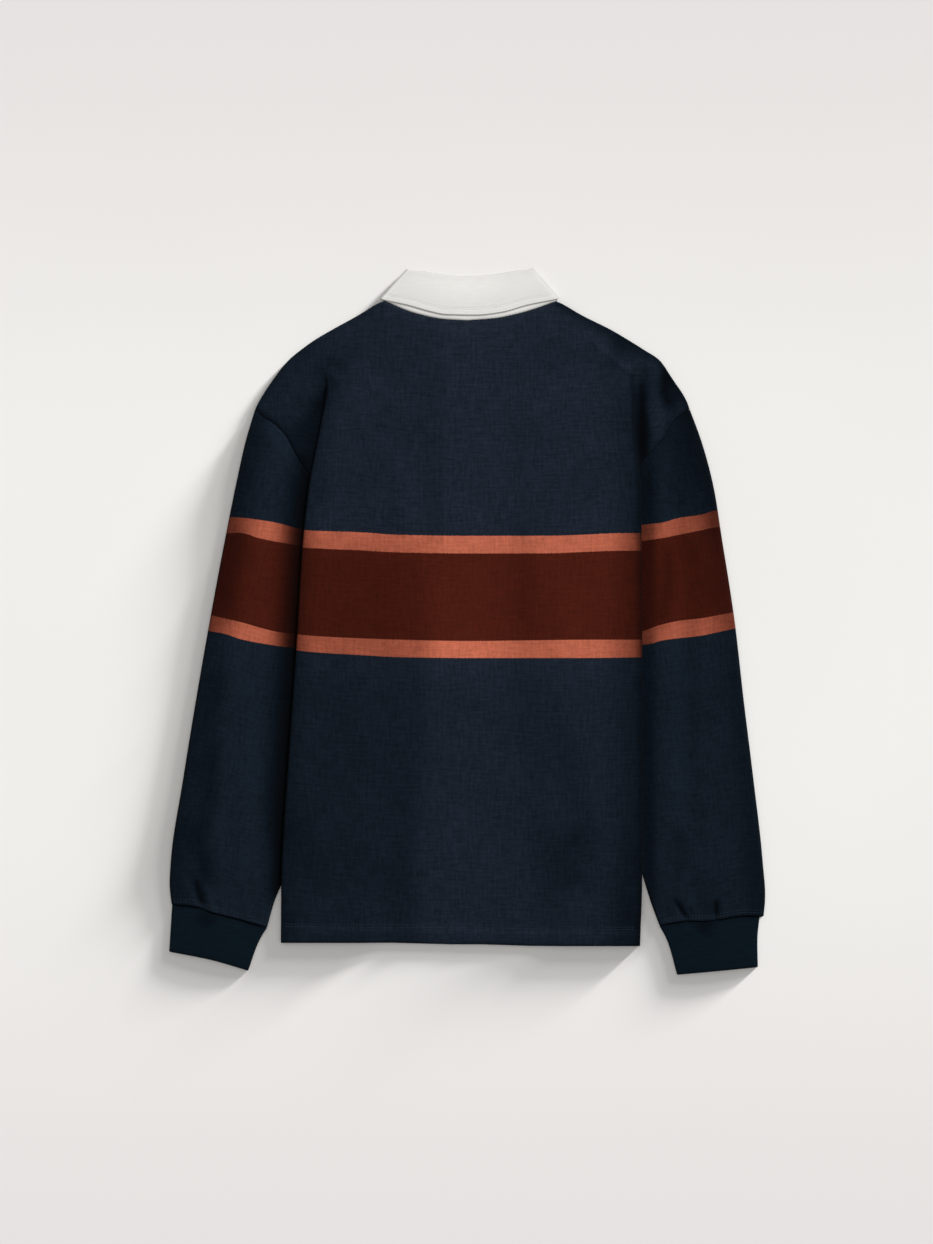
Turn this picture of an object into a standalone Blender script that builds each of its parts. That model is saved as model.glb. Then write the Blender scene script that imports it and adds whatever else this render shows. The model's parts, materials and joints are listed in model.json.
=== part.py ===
"""Long-sleeve polo shirt lying face down, with each side of the body folded under itself.

Lengths are in millimetres until a point is placed. +X runs across the shirt, +Y runs up to
the collar and +Z up from the surface it lies on. The origin is under the middle of the
shirt. A side is -1 on the left and +1 on the right, and distances across are from the
middle line, outward on that side.
"""

import math

import bmesh
import bpy

MM = 0.001
WALL = 1.1
SEAM_GAP = 0.3
EDGE_GAP = 0.35

# Layers of the body, measured at the middle of its two panels
HALF_GAP = SEAM_GAP / 2
HALF_BAG = HALF_GAP + WALL
LOW_LEVEL = HALF_BAG
LAYER_STEP = 2 * HALF_BAG + SEAM_GAP
TURN_RADIUS = LAYER_STEP / 2
OUTER_TURN = TURN_RADIUS + HALF_BAG
START_LENGTH = 2.0
RAMP_LENGTH = 42.0
PLATEAU_MARGIN = 6.0
PLAIN_PLATEAU = 8.0

UNDERARM_Y = 109.0
UNDERARM_X = {-1: 80.0, 1: 84.0}
HEM_Y = {-1: -362.8, 1: -366.4}
HEM_SIDE_SEAM = {-1: 133.0, 1: 120.0}
FLAP_LOWERS_FROM = 1.86
FOLD_DONE = 0.28

# Height, and distance of the folded edge from the middle line
FOLD_EDGE = {
    -1: ((-363, 210.2), (-298, 209.6), (-134, 200.0), (-38, 193.2), (81, 185.9),
         (152, 178.5), (188, 171.8), (222, 165.0), (267, 158.2), (330, 158.2)),
    1: ((-366, 195.5), (-281, 197.8), (-44, 197.8), (134, 196.6), (180, 194.4),
        (213, 190.5), (278, 187.6), (330, 187.6)),
}
# Row, and how far the fold has fallen from the shoulder to the underarm
FOLD_FALL = {
    -1: ((0, 0), (0.14, 0.16), (0.28, 0.30), (1, 1)),
    1: ((0, 0), (0.14, 0.08), (0.28, 0.19), (1, 1)),
}
# Row, and how far the pleat has turned over in degrees
FOLD_TURN = ((0, 0), (0.14, 0), (0.19, 50), (0.235, 110), (FOLD_DONE, 180), (2, 180))

# Distance from the middle line, and height
SHOULDER = {
    -1: ((92.7, 362.0), (99.4, 359.6), (122.0, 346.3), (152.6, 329.4), (171.8, 318.1),
         (187.6, 306.8), (201.1, 295.5), (219.2, 272.9), (233.9, 250.3), (239.1, 240.1)),
    1: ((100.9, 361.6), (106.0, 359.4), (128.8, 346.3), (162.7, 329.4), (181.9, 318.1),
        (200.0, 306.8), (217.0, 295.5), (232.8, 272.9), (247.5, 250.3), (251.4, 240.1)),
}
ARMHOLE = {
    -1: ((239.1, 240.1), (235.0, 235.6), (217.0, 223.2), (205.1, 210.1), (195.1, 191.9),
         (183.6, 173.5), (150.0, 140.0), (90.0, 109.0)),
    1: ((251.4, 240.1), (246.0, 236.7), (232.8, 226.6), (221.1, 206.7), (206.2, 190.4),
        (192.0, 174.0), (155.0, 140.0), (94.0, 109.0)),
}
BACK_NECK = {
    -1: ((0, 340.0), (28.3, 341.8), (50.9, 346.3), (70.6, 352.4), (92.4, 362.3)),
    1: ((0, 340.0), (32.2, 342.5), (53.8, 346.8), (75.5, 352.9), (100.6, 361.9)),
}
FRONT_NECK = {
    -1: ((0, 277.0), (18.0, 278.5), (45.0, 288.0), (70.0, 308.0), (84.0, 330.0), (92.4, 362.3)),
    1: ((0, 277.0), (18.0, 278.5), (48.0, 288.0), (75.0, 308.0), (91.0, 330.0), (100.6, 361.9)),
}

# Outer and inner edges of each sleeve from the armhole to the cuff seam
SLEEVE_OUTER = {
    -1: ((239.1, 240.1), (249.7, 205.1), (259.9, 159.9), (273.5, 92.1), (290.4, 1.7),
         (306.2, -88.7), (320.9, -179.1), (334.5, -269.5), (335.8, -300.0), (333.7, -319.2)),
    1: ((251.4, 240.1), (263.3, 205.1), (275.7, 159.9), (287.0, 92.1), (300.6, 1.7),
        (310.8, -88.7), (322.1, -179.1), (332.2, -269.5), (336.5, -315.8), (335.0, -333.0)),
}
SLEEVE_INNER = {
    -1: ((90.0, 109.0), (209.1, -296.2), (217.0, -314.7), (225.8, -345.2)),
    1: ((94.0, 109.0), (197.4, -283.1), (208.5, -319.4), (217.2, -342.9)),
}
CUFF_SEAM = {
    -1: ((333.7, -319.2), (306.7, -321.5), (292.0, -326.8), (254.3, -336.6), (225.8, -345.2)),
    1: ((335.0, -333.0), (319.8, -331.7), (271.0, -337.9), (241.5, -338.4), (217.2, -342.9)),
}
CUFF_TOP = {
    -1: ((333.0, -319.6), (306.7, -321.9), (292.0, -327.2), (254.3, -337.0), (225.8, -345.6)),
    1: ((330.6, -333.2), (319.8, -332.1), (271.0, -338.3), (241.5, -338.8), (217.2, -343.3)),
}
CUFF_END = {
    -1: ((336.4, -372.8), (284.8, -383.2), (247.2, -394.3)),
    1: ((328.5, -390.4), (285.0, -394.6), (237.4, -399.0)),
}
CUFF_OUTER = {
    -1: ((333.0, -319.6), (336.4, -372.8)),
    1: ((330.6, -333.2), (328.5, -351.3), (328.5, -390.4)),
}
CUFF_INNER = {
    -1: ((225.8, -345.6), (233.2, -357.6), (247.2, -394.3)),
    1: ((217.2, -343.3), (224.3, -356.3), (237.4, -399.0)),
}
# Loft of the upper walls, its distance from the body's fold, and the shares of length for its ends
SLEEVE_LOFT = 1.8
FOLD_CLEARANCE = 4
SLEEVE_RISES_BY = 0.15
SLEEVE_FALLS_FROM = 0.9
CUFF_LOFT = 0.4
CUFF_RISES_BY = 0.2
# The sleeve's seam lies this far out and down from the body's
ARM_SEAM_OFFSET = (0.25, -0.35)

# Collar in the flat: where it rolls over and where its leaf ends, behind and in front
ROLL_BACK = {
    -1: ((0, 388.8), (5.7, 388.8), (28.3, 390.8), (50.9, 394.4), (66.9, 395.6)),
    1: ((0, 388.8), (10.0, 388.9), (32.0, 391.0), (56.0, 394.9), (73.2, 396.7)),
}
LEAF_BACK = {
    -1: ((0, 346.0), (24.9, 346.8), (43.4, 350.6), (66.1, 357.1), (95.7, 363.4)),
    1: ((0, 346.0), (10.2, 346.0), (39.6, 349.3), (67.8, 357.2), (102.0, 364.0)),
}
ROLL_FRONT = {
    -1: ((66.9, 395.6), (63.0, 370.0), (50.0, 345.0), (28.0, 322.0), (1.5, 308.0)),
    1: ((73.2, 396.7), (68.0, 370.0), (54.0, 345.0), (30.0, 322.0), (1.5, 308.0)),
}
LEAF_FRONT = {
    -1: ((95.7, 363.4), (92.0, 335.0), (86.0, 305.0), (75.0, 272.0), (60.0, 243.0)),
    1: ((102.0, 364.0), (98.0, 335.0), (91.0, 305.0), (80.0, 272.0), (64.0, 243.0)),
}
COLLAR_MEETS = 1.5
COLLAR_MIDDLE = 2.8
STAND_RADIUS = 0.85
LEAF_RADIUS = 2.25
NECK_LEVEL = COLLAR_MIDDLE

SLOT_HALF = 18.0
PLACKET_LEVEL = 3.75
PLACKET_HALF_GAP = 0.85
# Where the body starts and ends its climb over the collar and over the placket
COLLAR_CLIMB_X = (145, 104)
COLLAR_CLIMB_Y = (196, 236)
PLACKET_CLIMB_X = (56, 20)
PLACKET_CLIMB_LOW = (62, 104)
PLACKET_CLIMB_HIGH = (318, 279)
# Extra half gap on those climbs, and where it has all come in beside the slot
SLOPE_GAP = 0.35
SLOPE_GAP_FROM = 30
BUTTON_HEIGHTS = (252.0, 202.0, 152.0)
BUTTON_RADIUS = 6.0
BUTTON_THICKNESS = 1.5

NAVY = (0.118, 0.143, 0.188)
RIB_NAVY = (0.055, 0.092, 0.124)
WHITE_TWILL = (0.902, 0.898, 0.882)
BUTTON_WHITE = (0.86, 0.85, 0.82)

# Rows of the body: 0 at its top edge, 1 at the underarm and 2 at the hem
ROWS_ABOVE = (0, 0.07, 0.14, 0.19, 0.235, FOLD_DONE, 0.42, 0.6, 0.8, 1)
ROWS_BELOW = (1.15, 1.4, 1.65, FLAP_LOWERS_FROM, 1.93, 2)
ARC_STEPS = 5
# Groups of columns from the middle outward, and the steps across each
GROUPS = (("slot", 1), ("panel", 3), ("ramp", 4), ("plateau", 2), ("turn", ARC_STEPS),
          ("under", 2), ("return", ARC_STEPS), ("arm", 2))
GROUP_ORDER = tuple(group for group, _ in GROUPS)
EDGE_STEPS = 3
SLEEVE_ROWS = 8
CUFF_ROWS = 3
COLLAR_STEPS = 4
LEAF_STEPS = 3
ROLL_STEPS = 4
STRIP_STEPS = 4
BUTTON_SIDES = 20


def lookup(table, key):
    """Reads a table of rising keys, straight between its rows."""
    if key <= table[0][0]:
        return table[0][1]
    for (low_key, low), (high_key, high) in zip(table, table[1:]):
        if key <= high_key:
            return low + (high - low) * (key - low_key) / (high_key - low_key)
    return table[-1][1]


def along(points, part):
    """Point at this part of the length of a line through the points."""
    steps = [math.dist(a, b) for a, b in zip(points, points[1:])]
    left = part * sum(steps)
    for start, end, step in zip(points, points[1:], steps):
        if left <= step:
            share = left / step
            return tuple(a + (b - a) * share for a, b in zip(start, end))
        left -= step
    return points[-1]


def mix(first, second, share):
    return first + (second - first) * share


def mix_points(first, second, share):
    return tuple(mix(a, b, share) for a, b in zip(first, second))


def ease(start, end, value):
    """0 before start, 1 after end, smooth between."""
    share = min(max((value - start) / (end - start), 0.0), 1.0)
    return share * share * (3 - 2 * share)


def unit(dx, dy):
    length = math.hypot(dx, dy)
    return dx / length, dy / length


def collar_share(across, height):
    return ease(*COLLAR_CLIMB_X, across) * ease(*COLLAR_CLIMB_Y, height)


def placket_share(across, height):
    along_slot = ease(*PLACKET_CLIMB_LOW, height) * ease(*PLACKET_CLIMB_HIGH, height)
    return ease(*PLACKET_CLIMB_X, across) * along_slot


def bag_level(across, height):
    """Middle height of the body where it lies in one layer."""
    plain = mix(LOW_LEVEL, NECK_LEVEL, collar_share(across, height))
    return mix(plain, PLACKET_LEVEL, placket_share(across, height))


def bag_half_gap(across, height):
    """Half the space between the panels, wider where they climb over the collar and placket."""
    collar, placket = collar_share(across, height), placket_share(across, height)
    plain = mix(HALF_GAP, SEAM_GAP, collar)
    slopes = 4 * collar * (1 - collar) * (1 - placket) + 4 * placket * (1 - placket)
    beside_slot = ease(SLOT_HALF, SLOPE_GAP_FROM, across)
    return mix(plain, PLACKET_HALF_GAP, placket) + SLOPE_GAP * slopes * beside_slot


def section(side, row):
    """Sizes of the folded side of the body at one row."""
    above = min(row, 1.0)
    below = max(row - 1.0, 0.0)
    shoulder_y = lookup(SHOULDER[side], FOLD_EDGE[side][-1][1])
    fold_y = mix(shoulder_y, UNDERARM_Y, lookup(FOLD_FALL[side], above))
    fold_y = mix(fold_y, HEM_Y[side], below)
    edge = lookup(FOLD_EDGE[side], fold_y) - OUTER_TURN
    underarm_edge = lookup(FOLD_EDGE[side], UNDERARM_Y) - OUTER_TURN
    full = underarm_edge - UNDERARM_X[side]
    opened = max(above - FOLD_DONE, 0.0) / (1 - FOLD_DONE)
    length = mix(START_LENGTH, full, opened)
    if row > 1:
        length = edge - mix(UNDERARM_X[side], HEM_SIDE_SEAM[side], below)
    turn = math.radians(lookup(FOLD_TURN, row))
    top = LOW_LEVEL + 2 * TURN_RADIUS * (1 - math.cos(turn)) + length * math.sin(turn)
    if row > 1:
        top = LOW_LEVEL + LAYER_STEP * (1 + ease(2, FLAP_LOWERS_FROM, row))
    plateau = edge - PLAIN_PLATEAU
    if row >= FOLD_DONE:
        plateau = edge - length - PLATEAU_MARGIN
    start = plateau - RAMP_LENGTH
    if row < FOLD_DONE:
        start = mix(SHOULDER[side][0][0], start, ease(0, FOLD_DONE, row))
    return fold_y, edge, length, turn, top, plateau, start


def top_edge(side, across, neck):
    """Height of the panel's top edge, at its neckline or its shoulder."""
    if across <= SHOULDER[side][0][0]:
        return lookup(neck[side], across - SEAM_GAP) - EDGE_GAP
    return lookup(SHOULDER[side], across)


def row_height(side, row, start_across, neck, sideways):
    """Height of a point of this row, which started at start_across on the top edge."""
    own = lookup(FOLD_FALL[side], row)
    both = (lookup(FOLD_FALL[-1], row) + lookup(FOLD_FALL[1], row)) / 2
    if row <= 1:
        return mix(top_edge(side, start_across, neck), UNDERARM_Y, mix(both, own, sideways))
    hem = mix((HEM_Y[-1] + HEM_Y[1]) / 2, HEM_Y[side], sideways)
    return mix(UNDERARM_Y, hem, row - 1)


def bag_point(side, group, share, row, neck):
    """Point between the panels: across, height, level, its normal and the half gap."""
    if group in ("slot", "panel"):
        return middle_point(side, group, share, row, neck)
    if group in ("ramp", "plateau"):
        return rising_point(side, group, share, row, neck)
    return folded_point(side, group, share, row, neck)


def middle_point(side, group, share, row, neck):
    """Point where the body lies in one layer."""
    start, first_start = section(side, row)[6], section(side, 0)[6]
    across, began, sideways = SLOT_HALF * share, SLOT_HALF * share, 0.0
    if group == "panel":
        across, began, sideways = mix(SLOT_HALF, start, share), mix(SLOT_HALF, first_start, share), share
    height = row_height(side, row, began, neck, sideways)
    return across, height, bag_level(across, height), (0.0, 1.0), bag_half_gap(across, height)


def rising_point(side, group, share, row, neck):
    """Point where the body rises onto its folded side, or lies on top of it."""
    _, edge, _, _, top, plateau, start = section(side, row)
    _, first_edge, _, _, _, first_plateau, first_start = section(side, 0)
    if group == "ramp":
        across, began = mix(start, plateau, share), mix(first_start, first_plateau, share)
    else:
        across, began = mix(plateau, edge, share), mix(first_plateau, first_edge, share)
    height = row_height(side, row, began, neck, 1.0)
    rise = ease(start, plateau, across)
    level = mix(bag_level(across, height), top, rise)
    return across, height, level, (0.0, 1.0), mix(bag_half_gap(across, height), HALF_GAP, rise)


def folded_point(side, group, share, row, neck):
    """Point on the turn, under it, on the turn back or on the part that meets the sleeve."""
    fold_y, edge, length, turn, top, _, _ = section(side, row)
    first_edge = section(side, 0)[1]
    arc = math.pi * TURN_RADIUS
    turned = share if group == "turn" else 1.0
    walked = {"turn": 0.0, "under": length * share}.get(group, length)
    angle = turn * turned
    reach = TURN_RADIUS * math.sin(angle) if turn > 0 else arc * turned
    across = edge + reach + walked * math.cos(turn)
    level = top - TURN_RADIUS * (1 - math.cos(angle)) - walked * math.sin(turn)
    offset = arc * turned + walked
    if group in ("return", "arm"):
        unturned = share if group == "return" else 1.0
        angle = turn * (1 - unturned)
        across += TURN_RADIUS * (math.sin(turn) - math.sin(angle)) if turn > 0 else arc * unturned
        level -= TURN_RADIUS * (math.cos(angle) - math.cos(turn))
        offset += arc * unturned
    flat = 1 - turn / math.pi
    height = mix(fold_y, row_height(side, row, first_edge + offset, neck, 1.0), flat * flat)
    if group != "arm":
        return across, height, level, (math.sin(angle), math.cos(angle)), HALF_GAP
    seam_x, seam_y = along(ARMHOLE[side], row)
    near_end = first_edge + 2 * arc + START_LENGTH
    began = mix(near_end, SHOULDER[side][-1][0], share)
    straight = mix(lookup(SHOULDER[side], near_end), SHOULDER[side][-1][1], share)
    bulge = (lookup(SHOULDER[side], began) - straight) * max(1 - row / FOLD_DONE, 0.0)
    return mix(across, seam_x, share), mix(height, seam_y, share) + bulge, level, (0.0, 1.0), HALF_GAP


def half_columns():
    """Columns from the middle outward, as a group and a share of its width."""
    columns = [("slot", 0.0)]
    for group, count in GROUPS:
        columns += [(group, step / count) for step in range(1, count + 1)]
    return columns


def shell(name, outer, inner, used, closed, material):
    """Closed body between two grids of points. used(row, column) keeps a cell."""
    mesh = bmesh.new()
    rows, columns = len(outer), len(outer[0])
    spans = columns if closed else columns - 1
    cells = [(r, c) for r in range(rows - 1) for c in range(spans) if used(r, c)]
    made = {}

    def corner(face, r, c):
        key = (face, r, c % columns)
        if key not in made:
            grid = outer if face else inner
            made[key] = mesh.verts.new([value * MM for value in grid[r][c % columns]])
        return made[key]

    def quad(a, b, c, d):
        mesh.faces.new((a, b, c))
        mesh.faces.new((a, c, d))

    sides = {}
    for r, c in cells:
        ring = [(r, c), (r, c + 1), (r + 1, c + 1), (r + 1, c)]
        quad(*[corner(1, *at) for at in ring])
        quad(*[corner(0, *at) for at in (ring[0], ring[3], ring[2], ring[1])])
        for start, end in zip(ring, ring[1:] + ring[:1]):
            key = ((start[0], start[1] % columns), (end[0], end[1] % columns))
            sides[key] = True
    for start, end in sides:
        if (end, start) not in sides:
            quad(corner(1, *end), corner(1, *start), corner(0, *start), corner(0, *end))
    bmesh.ops.recalc_face_normals(mesh, faces=mesh.faces)
    data = bpy.data.meshes.new(name)
    mesh.to_mesh(data)
    mesh.free()
    for face in data.polygons:
        face.use_smooth = True
    data.materials.append(material)
    made_object = bpy.data.objects.new(name, data)
    bpy.context.scene.collection.objects.link(made_object)
    return made_object


def linear(colour):
    return tuple(part / 12.92 if part <= 0.04045 else ((part + 0.055) / 1.055) ** 2.4 for part in colour)


def cloth(name, colour, roughness):
    material = bpy.data.materials.new(name)
    material.use_nodes = True
    shader = material.node_tree.nodes["Principled BSDF"]
    shader.inputs["Base Color"].default_value = (*linear(colour), 1.0)
    shader.inputs["Roughness"].default_value = roughness
    shader.inputs["Metallic"].default_value = 0.0
    material.diffuse_color = (*linear(colour), 1.0)
    return material


def panel_grids(neck, facing):
    """Outer and inner faces of the back (facing 1) or the front (facing -1)."""
    half = half_columns()
    columns = [(-1, *column) for column in reversed(half[1:])] + [(1, *column) for column in half]
    outer, inner = [], []
    for row in ROWS_ABOVE + ROWS_BELOW:
        faces = ([], [])
        for side, group, share in columns:
            across, height, level, normal, gap = bag_point(side, group, share, row, neck)
            for face, depth in zip(faces, (gap + WALL, gap)):
                shift = depth * facing
                face.append((side * (across + shift * normal[0]), height, level + shift * normal[1]))
        outer.append(faces[0])
        inner.append(faces[1])
    return columns, outer, inner


def panel_cell(columns, slotted):
    first_below = len(ROWS_ABOVE) - 1

    def used(r, c):
        group = max(columns[c][1], columns[c + 1][1], key=GROUP_ORDER.index)
        if r >= first_below:
            return group not in ("return", "arm")
        return not (slotted and group == "slot")

    return used


def make_panel(name, neck, facing, slotted, material):
    columns, outer, inner = panel_grids(neck, facing)
    return shell(name, outer, inner, panel_cell(columns, slotted), False, material)


def patch_point(outer_edge, inner_edge, top, end, across, down):
    """Point of a sleeve inside its four edges."""
    left, right = along(outer_edge, down), along(inner_edge, down)
    upper, lower = top(across), end(across)
    point = []
    for axis in (0, 1):
        corners = mix(mix(outer_edge[0][axis], inner_edge[0][axis], across),
                      mix(outer_edge[-1][axis], inner_edge[-1][axis], across), down)
        sides = mix(left[axis], right[axis], across)
        ends = mix(upper[axis], lower[axis], down)
        point.append(sides + ends - corners)
    return point


def tube_ring(place, shares, loft_at, down):
    """One ring of a flattened tube lying on the surface: outer and inner points."""
    outer, inner = [], []
    (left_x, left_y), (right_x, right_y) = place(0.0, down), place(1.0, down)
    outward = unit(left_x - right_x, left_y - right_y)

    def moved(share, distance):
        """Place on the ring, drawn in from the tube's edges and moved outward."""
        x, y = place(share, down)
        distance += HALF_BAG * (2 * share - 1)
        return x + outward[0] * distance, y + outward[1] * distance

    def round_edge(share, heading, up):
        for step in range(1, EDGE_STEPS + 1):
            angle = math.pi * step / (EDGE_STEPS + 1)
            for ring, reach in ((outer, HALF_BAG), (inner, HALF_GAP)):
                x, y = moved(share, heading * reach * math.sin(angle))
                ring.append((x, y, HALF_BAG + up * reach * math.cos(angle)))

    for share in shares:
        x, y = moved(share, 0.0)
        loft = loft_at(share, down, x, y)
        outer.append((x, y, 2 * HALF_BAG + loft))
        inner.append((x, y, HALF_BAG + HALF_GAP + loft))
    round_edge(1.0, -1, 1)
    for share in reversed(shares):
        outer.append((*moved(share, 0.0), 0.0))
        inner.append((*moved(share, 0.0), WALL))
    round_edge(0.0, 1, -1)
    return outer, inner


def sleeve_loft(side, down, x, y):
    """How far the upper wall stands off, where the body doesn't cover it."""
    outside = along(SLEEVE_OUTER[side], down)[0]
    inside = max(lookup(FOLD_EDGE[side], y) + FOLD_CLEARANCE, along(SLEEVE_INNER[side], down)[0])
    place = (outside - x) / max(outside - inside, 1)
    if place <= 0 or place >= 1:
        return 0.0
    ends = ease(0, SLEEVE_RISES_BY, down) * ease(1, SLEEVE_FALLS_FROM, down)
    return SLEEVE_LOFT * math.sin(math.pi * place) * ends


def make_tube(name, side, edges, downs, loft_at, material):
    outer_edge, inner_edge, top, end = edges

    def place(share, down):
        return patch_point(outer_edge, inner_edge, top, end, share, down)

    # The places round the tube match the body's rows along the armhole
    rings = [tube_ring(place, ROWS_ABOVE, loft_at, down) for down in downs]
    outer = [[(side * x, y, z) for x, y, z in ring[0]] for ring in rings]
    inner = [[(side * x, y, z) for x, y, z in ring[1]] for ring in rings]
    return shell(name, outer, inner, lambda r, c: True, True, material)


def make_sleeve(side, material):
    name = "sleeve_left" if side < 0 else "sleeve_right"

    def top(share):
        x, y = along(ARMHOLE[side], share)
        return x + ARM_SEAM_OFFSET[0], y + ARM_SEAM_OFFSET[1]

    outer_edge = (top(0.0),) + SLEEVE_OUTER[side][1:]
    inner_edge = (top(1.0),) + SLEEVE_INNER[side][1:]
    edges = (outer_edge, inner_edge, top, lambda share: along(CUFF_SEAM[side], share))
    downs = [step / SLEEVE_ROWS for step in range(SLEEVE_ROWS + 1)]
    make_tube(name, side, edges, downs, lambda _, down, x, y: sleeve_loft(side, down, x, y), material)


def make_cuff(side, material):
    name = "cuff_left" if side < 0 else "cuff_right"
    edges = (CUFF_OUTER[side], CUFF_INNER[side], lambda share: along(CUFF_TOP[side], share),
             lambda share: along(CUFF_END[side], share))
    downs = [step / CUFF_ROWS for step in range(CUFF_ROWS + 1)]

    def loft(share, down, *_):
        return CUFF_LOFT * math.sin(math.pi * share) * ease(0, CUFF_RISES_BY, down)

    make_tube(name, side, edges, downs, loft, material)


def collar_stops():
    """Places round the neck from the middle of the front, under one side, to the back."""
    stops = [("front", 1 - step / COLLAR_STEPS) for step in range(COLLAR_STEPS)]
    stops += [("side", 1 - step / ARC_STEPS) for step in range(ARC_STEPS + 1)]
    stops += [("back", 1 - step / COLLAR_STEPS) for step in range(1, COLLAR_STEPS + 1)]
    return stops


def neck_reach(side, share):
    """Distance from the middle of the collar's seam, beside the body's own columns."""
    corner = SHOULDER[side][0][0]
    first = 1 / COLLAR_STEPS
    if share <= first:
        return max(mix(0, SLOT_HALF, share / first) - SEAM_GAP, 0)
    return mix(SLOT_HALF, corner, (share - first) / (1 - first)) - SEAM_GAP


def collar_base(side, kind, share):
    """Roll line, leaf edge and seam in the flat, with the turn round the side."""
    if kind == "front":
        reach = max(neck_reach(side, 1 - share), COLLAR_MEETS)
        seam = (reach, lookup(FRONT_NECK[side], reach))
        roll = along(ROLL_FRONT[side], share)
        leaf = along(LEAF_FRONT[side], share)
        return roll, leaf, seam, math.pi
    portion = share if kind == "back" else 1.0
    reach = neck_reach(side, portion)
    seam = (reach, lookup(BACK_NECK[side], reach))
    roll_reach = ROLL_BACK[side][-1][0] * portion
    leaf_reach = LEAF_BACK[side][-1][0] * portion
    roll = (roll_reach, lookup(ROLL_BACK[side], roll_reach))
    leaf = (leaf_reach, lookup(LEAF_BACK[side], leaf_reach))
    return roll, leaf, seam, math.pi * share if kind == "side" else 0.0


def collar_column(side, kind, share):
    """Outer and inner faces of the collar from leaf edge, over the roll, to the seam."""
    roll, leaf, seam, turn = collar_base(side, kind, share)
    end_roll, end_leaf = ROLL_BACK[side][-1], LEAF_BACK[side][-1]
    up = unit(roll[0] - leaf[0], roll[1] - leaf[1])
    along_edge = unit(end_roll[0] - end_leaf[0], end_roll[1] - end_leaf[1])
    outward = (along_edge[1], -along_edge[0])
    half = WALL / 2
    middle = (STAND_RADIUS + LEAF_RADIUS) / 2
    bend = (LEAF_RADIUS - STAND_RADIUS) / 2
    faces = []
    for grow in (half, -half):
        path = [(mix_points(leaf, roll, step / LEAF_STEPS), LEAF_RADIUS + grow, 0.0)
                for step in range(LEAF_STEPS)]
        for step in range(ROLL_STEPS + 1):
            angle = math.pi * step / ROLL_STEPS
            reach = bend + grow
            path.append((roll, middle + reach * math.cos(angle), reach * math.sin(angle)))
        path += [(mix_points(roll, seam, step / LEAF_STEPS), STAND_RADIUS - grow, 0.0)
                 for step in range(1, LEAF_STEPS + 1)]
        face = []
        for base, radius, lift in path:
            x = base[0] + outward[0] * radius * math.sin(turn) + up[0] * lift
            y = base[1] + outward[1] * radius * math.sin(turn) + up[1] * lift
            face.append((side * x, y, COLLAR_MIDDLE + radius * math.cos(turn)))
        faces.append(face)
    return faces


def make_collar(material):
    stops = collar_stops()
    columns = [(-1, *stop) for stop in stops] + [(1, *stop) for stop in reversed(stops[:-1])]
    made = [collar_column(*column) for column in columns]
    outer = [faces[0] for faces in made]
    inner = [faces[1] for faces in made]
    return shell("collar", outer, inner, lambda r, c: True, False, material)


def make_strip(name, bottom, half_width, material):
    """One strip of the placket, flat between the front and the back."""
    low, high = UNDERARM_Y + EDGE_GAP, FRONT_NECK[1][0][1] - 2 * EDGE_GAP
    shares = [step / STRIP_STEPS for step in range(STRIP_STEPS + 1)]
    heights = [mix(high, low, share) for share in shares]
    places = [mix(-half_width, half_width, share) for share in shares]
    outer = [[(x, y, bottom) for x in places] for y in heights]
    inner = [[(x, y, bottom + WALL) for x in places] for y in heights]
    strip = shell(name, outer, inner, lambda r, c: True, False, material)
    for face in strip.data.polygons:
        face.use_smooth = False
    return strip


def make_button(name, height, material):
    """A round button with a low dish in its face and a rounded rim."""
    # Radius and level, from the face's middle to the back's middle
    profile = ((3.6, 0.35), (4.4, 0.0), (5.5, 0.0), (BUTTON_RADIUS, 0.4),
               (BUTTON_RADIUS, BUTTON_THICKNESS - 0.2), (5.6, BUTTON_THICKNESS))
    mesh = bmesh.new()
    rings = []
    for radius, level in profile:
        ring = []
        for step in range(BUTTON_SIDES):
            angle = 2 * math.pi * step / BUTTON_SIDES
            ring.append(mesh.verts.new((radius * math.cos(angle) * MM,
                                        (height + radius * math.sin(angle)) * MM, level * MM)))
        rings.append(ring)
    for ring, following in zip(rings, rings[1:]):
        for step in range(BUTTON_SIDES):
            other = (step + 1) % BUTTON_SIDES
            mesh.faces.new((ring[step], following[step], following[other], ring[other]))
    mesh.faces.new(rings[0])
    mesh.faces.new(list(reversed(rings[-1])))
    bmesh.ops.recalc_face_normals(mesh, faces=mesh.faces)
    data = bpy.data.meshes.new(name)
    mesh.to_mesh(data)
    mesh.free()
    data.materials.append(material)
    bpy.context.scene.collection.objects.link(bpy.data.objects.new(name, data))


def main():
    for old in list(bpy.data.objects):
        bpy.data.objects.remove(old, do_unlink=True)
    jersey = cloth("navy_jersey", NAVY, 0.9)
    rib = cloth("navy_rib", RIB_NAVY, 0.92)
    twill = cloth("white_twill", WHITE_TWILL, 0.8)
    shine = cloth("button_white", BUTTON_WHITE, 0.35)
    make_panel("back", BACK_NECK, 1, False, jersey)
    make_panel("front", FRONT_NECK, -1, True, jersey)
    for side in (-1, 1):
        make_sleeve(side, jersey)
        make_cuff(side, rib)
    make_collar(twill)
    top_bottom = PLACKET_LEVEL - PLACKET_HALF_GAP - WALL
    make_strip("placket_top", top_bottom, SLOT_HALF - EDGE_GAP, twill)
    make_strip("placket_under", top_bottom + WALL + SEAM_GAP, SLOT_HALF - EDGE_GAP, twill)
    for number, height in enumerate(BUTTON_HEIGHTS, 1):
        make_button(f"button_{number}", height, shine)


main()
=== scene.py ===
"""Looks of a long-sleeve polo shirt lying face down, with its sides folded under.

Lengths are in millimetres until a mesh is made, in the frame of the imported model: +X runs
across the shirt, +Y up to the collar and +Z up. A side is -1 on the left and +1 on the
right, and distances across are from the middle line, outward on that side.
"""

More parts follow.
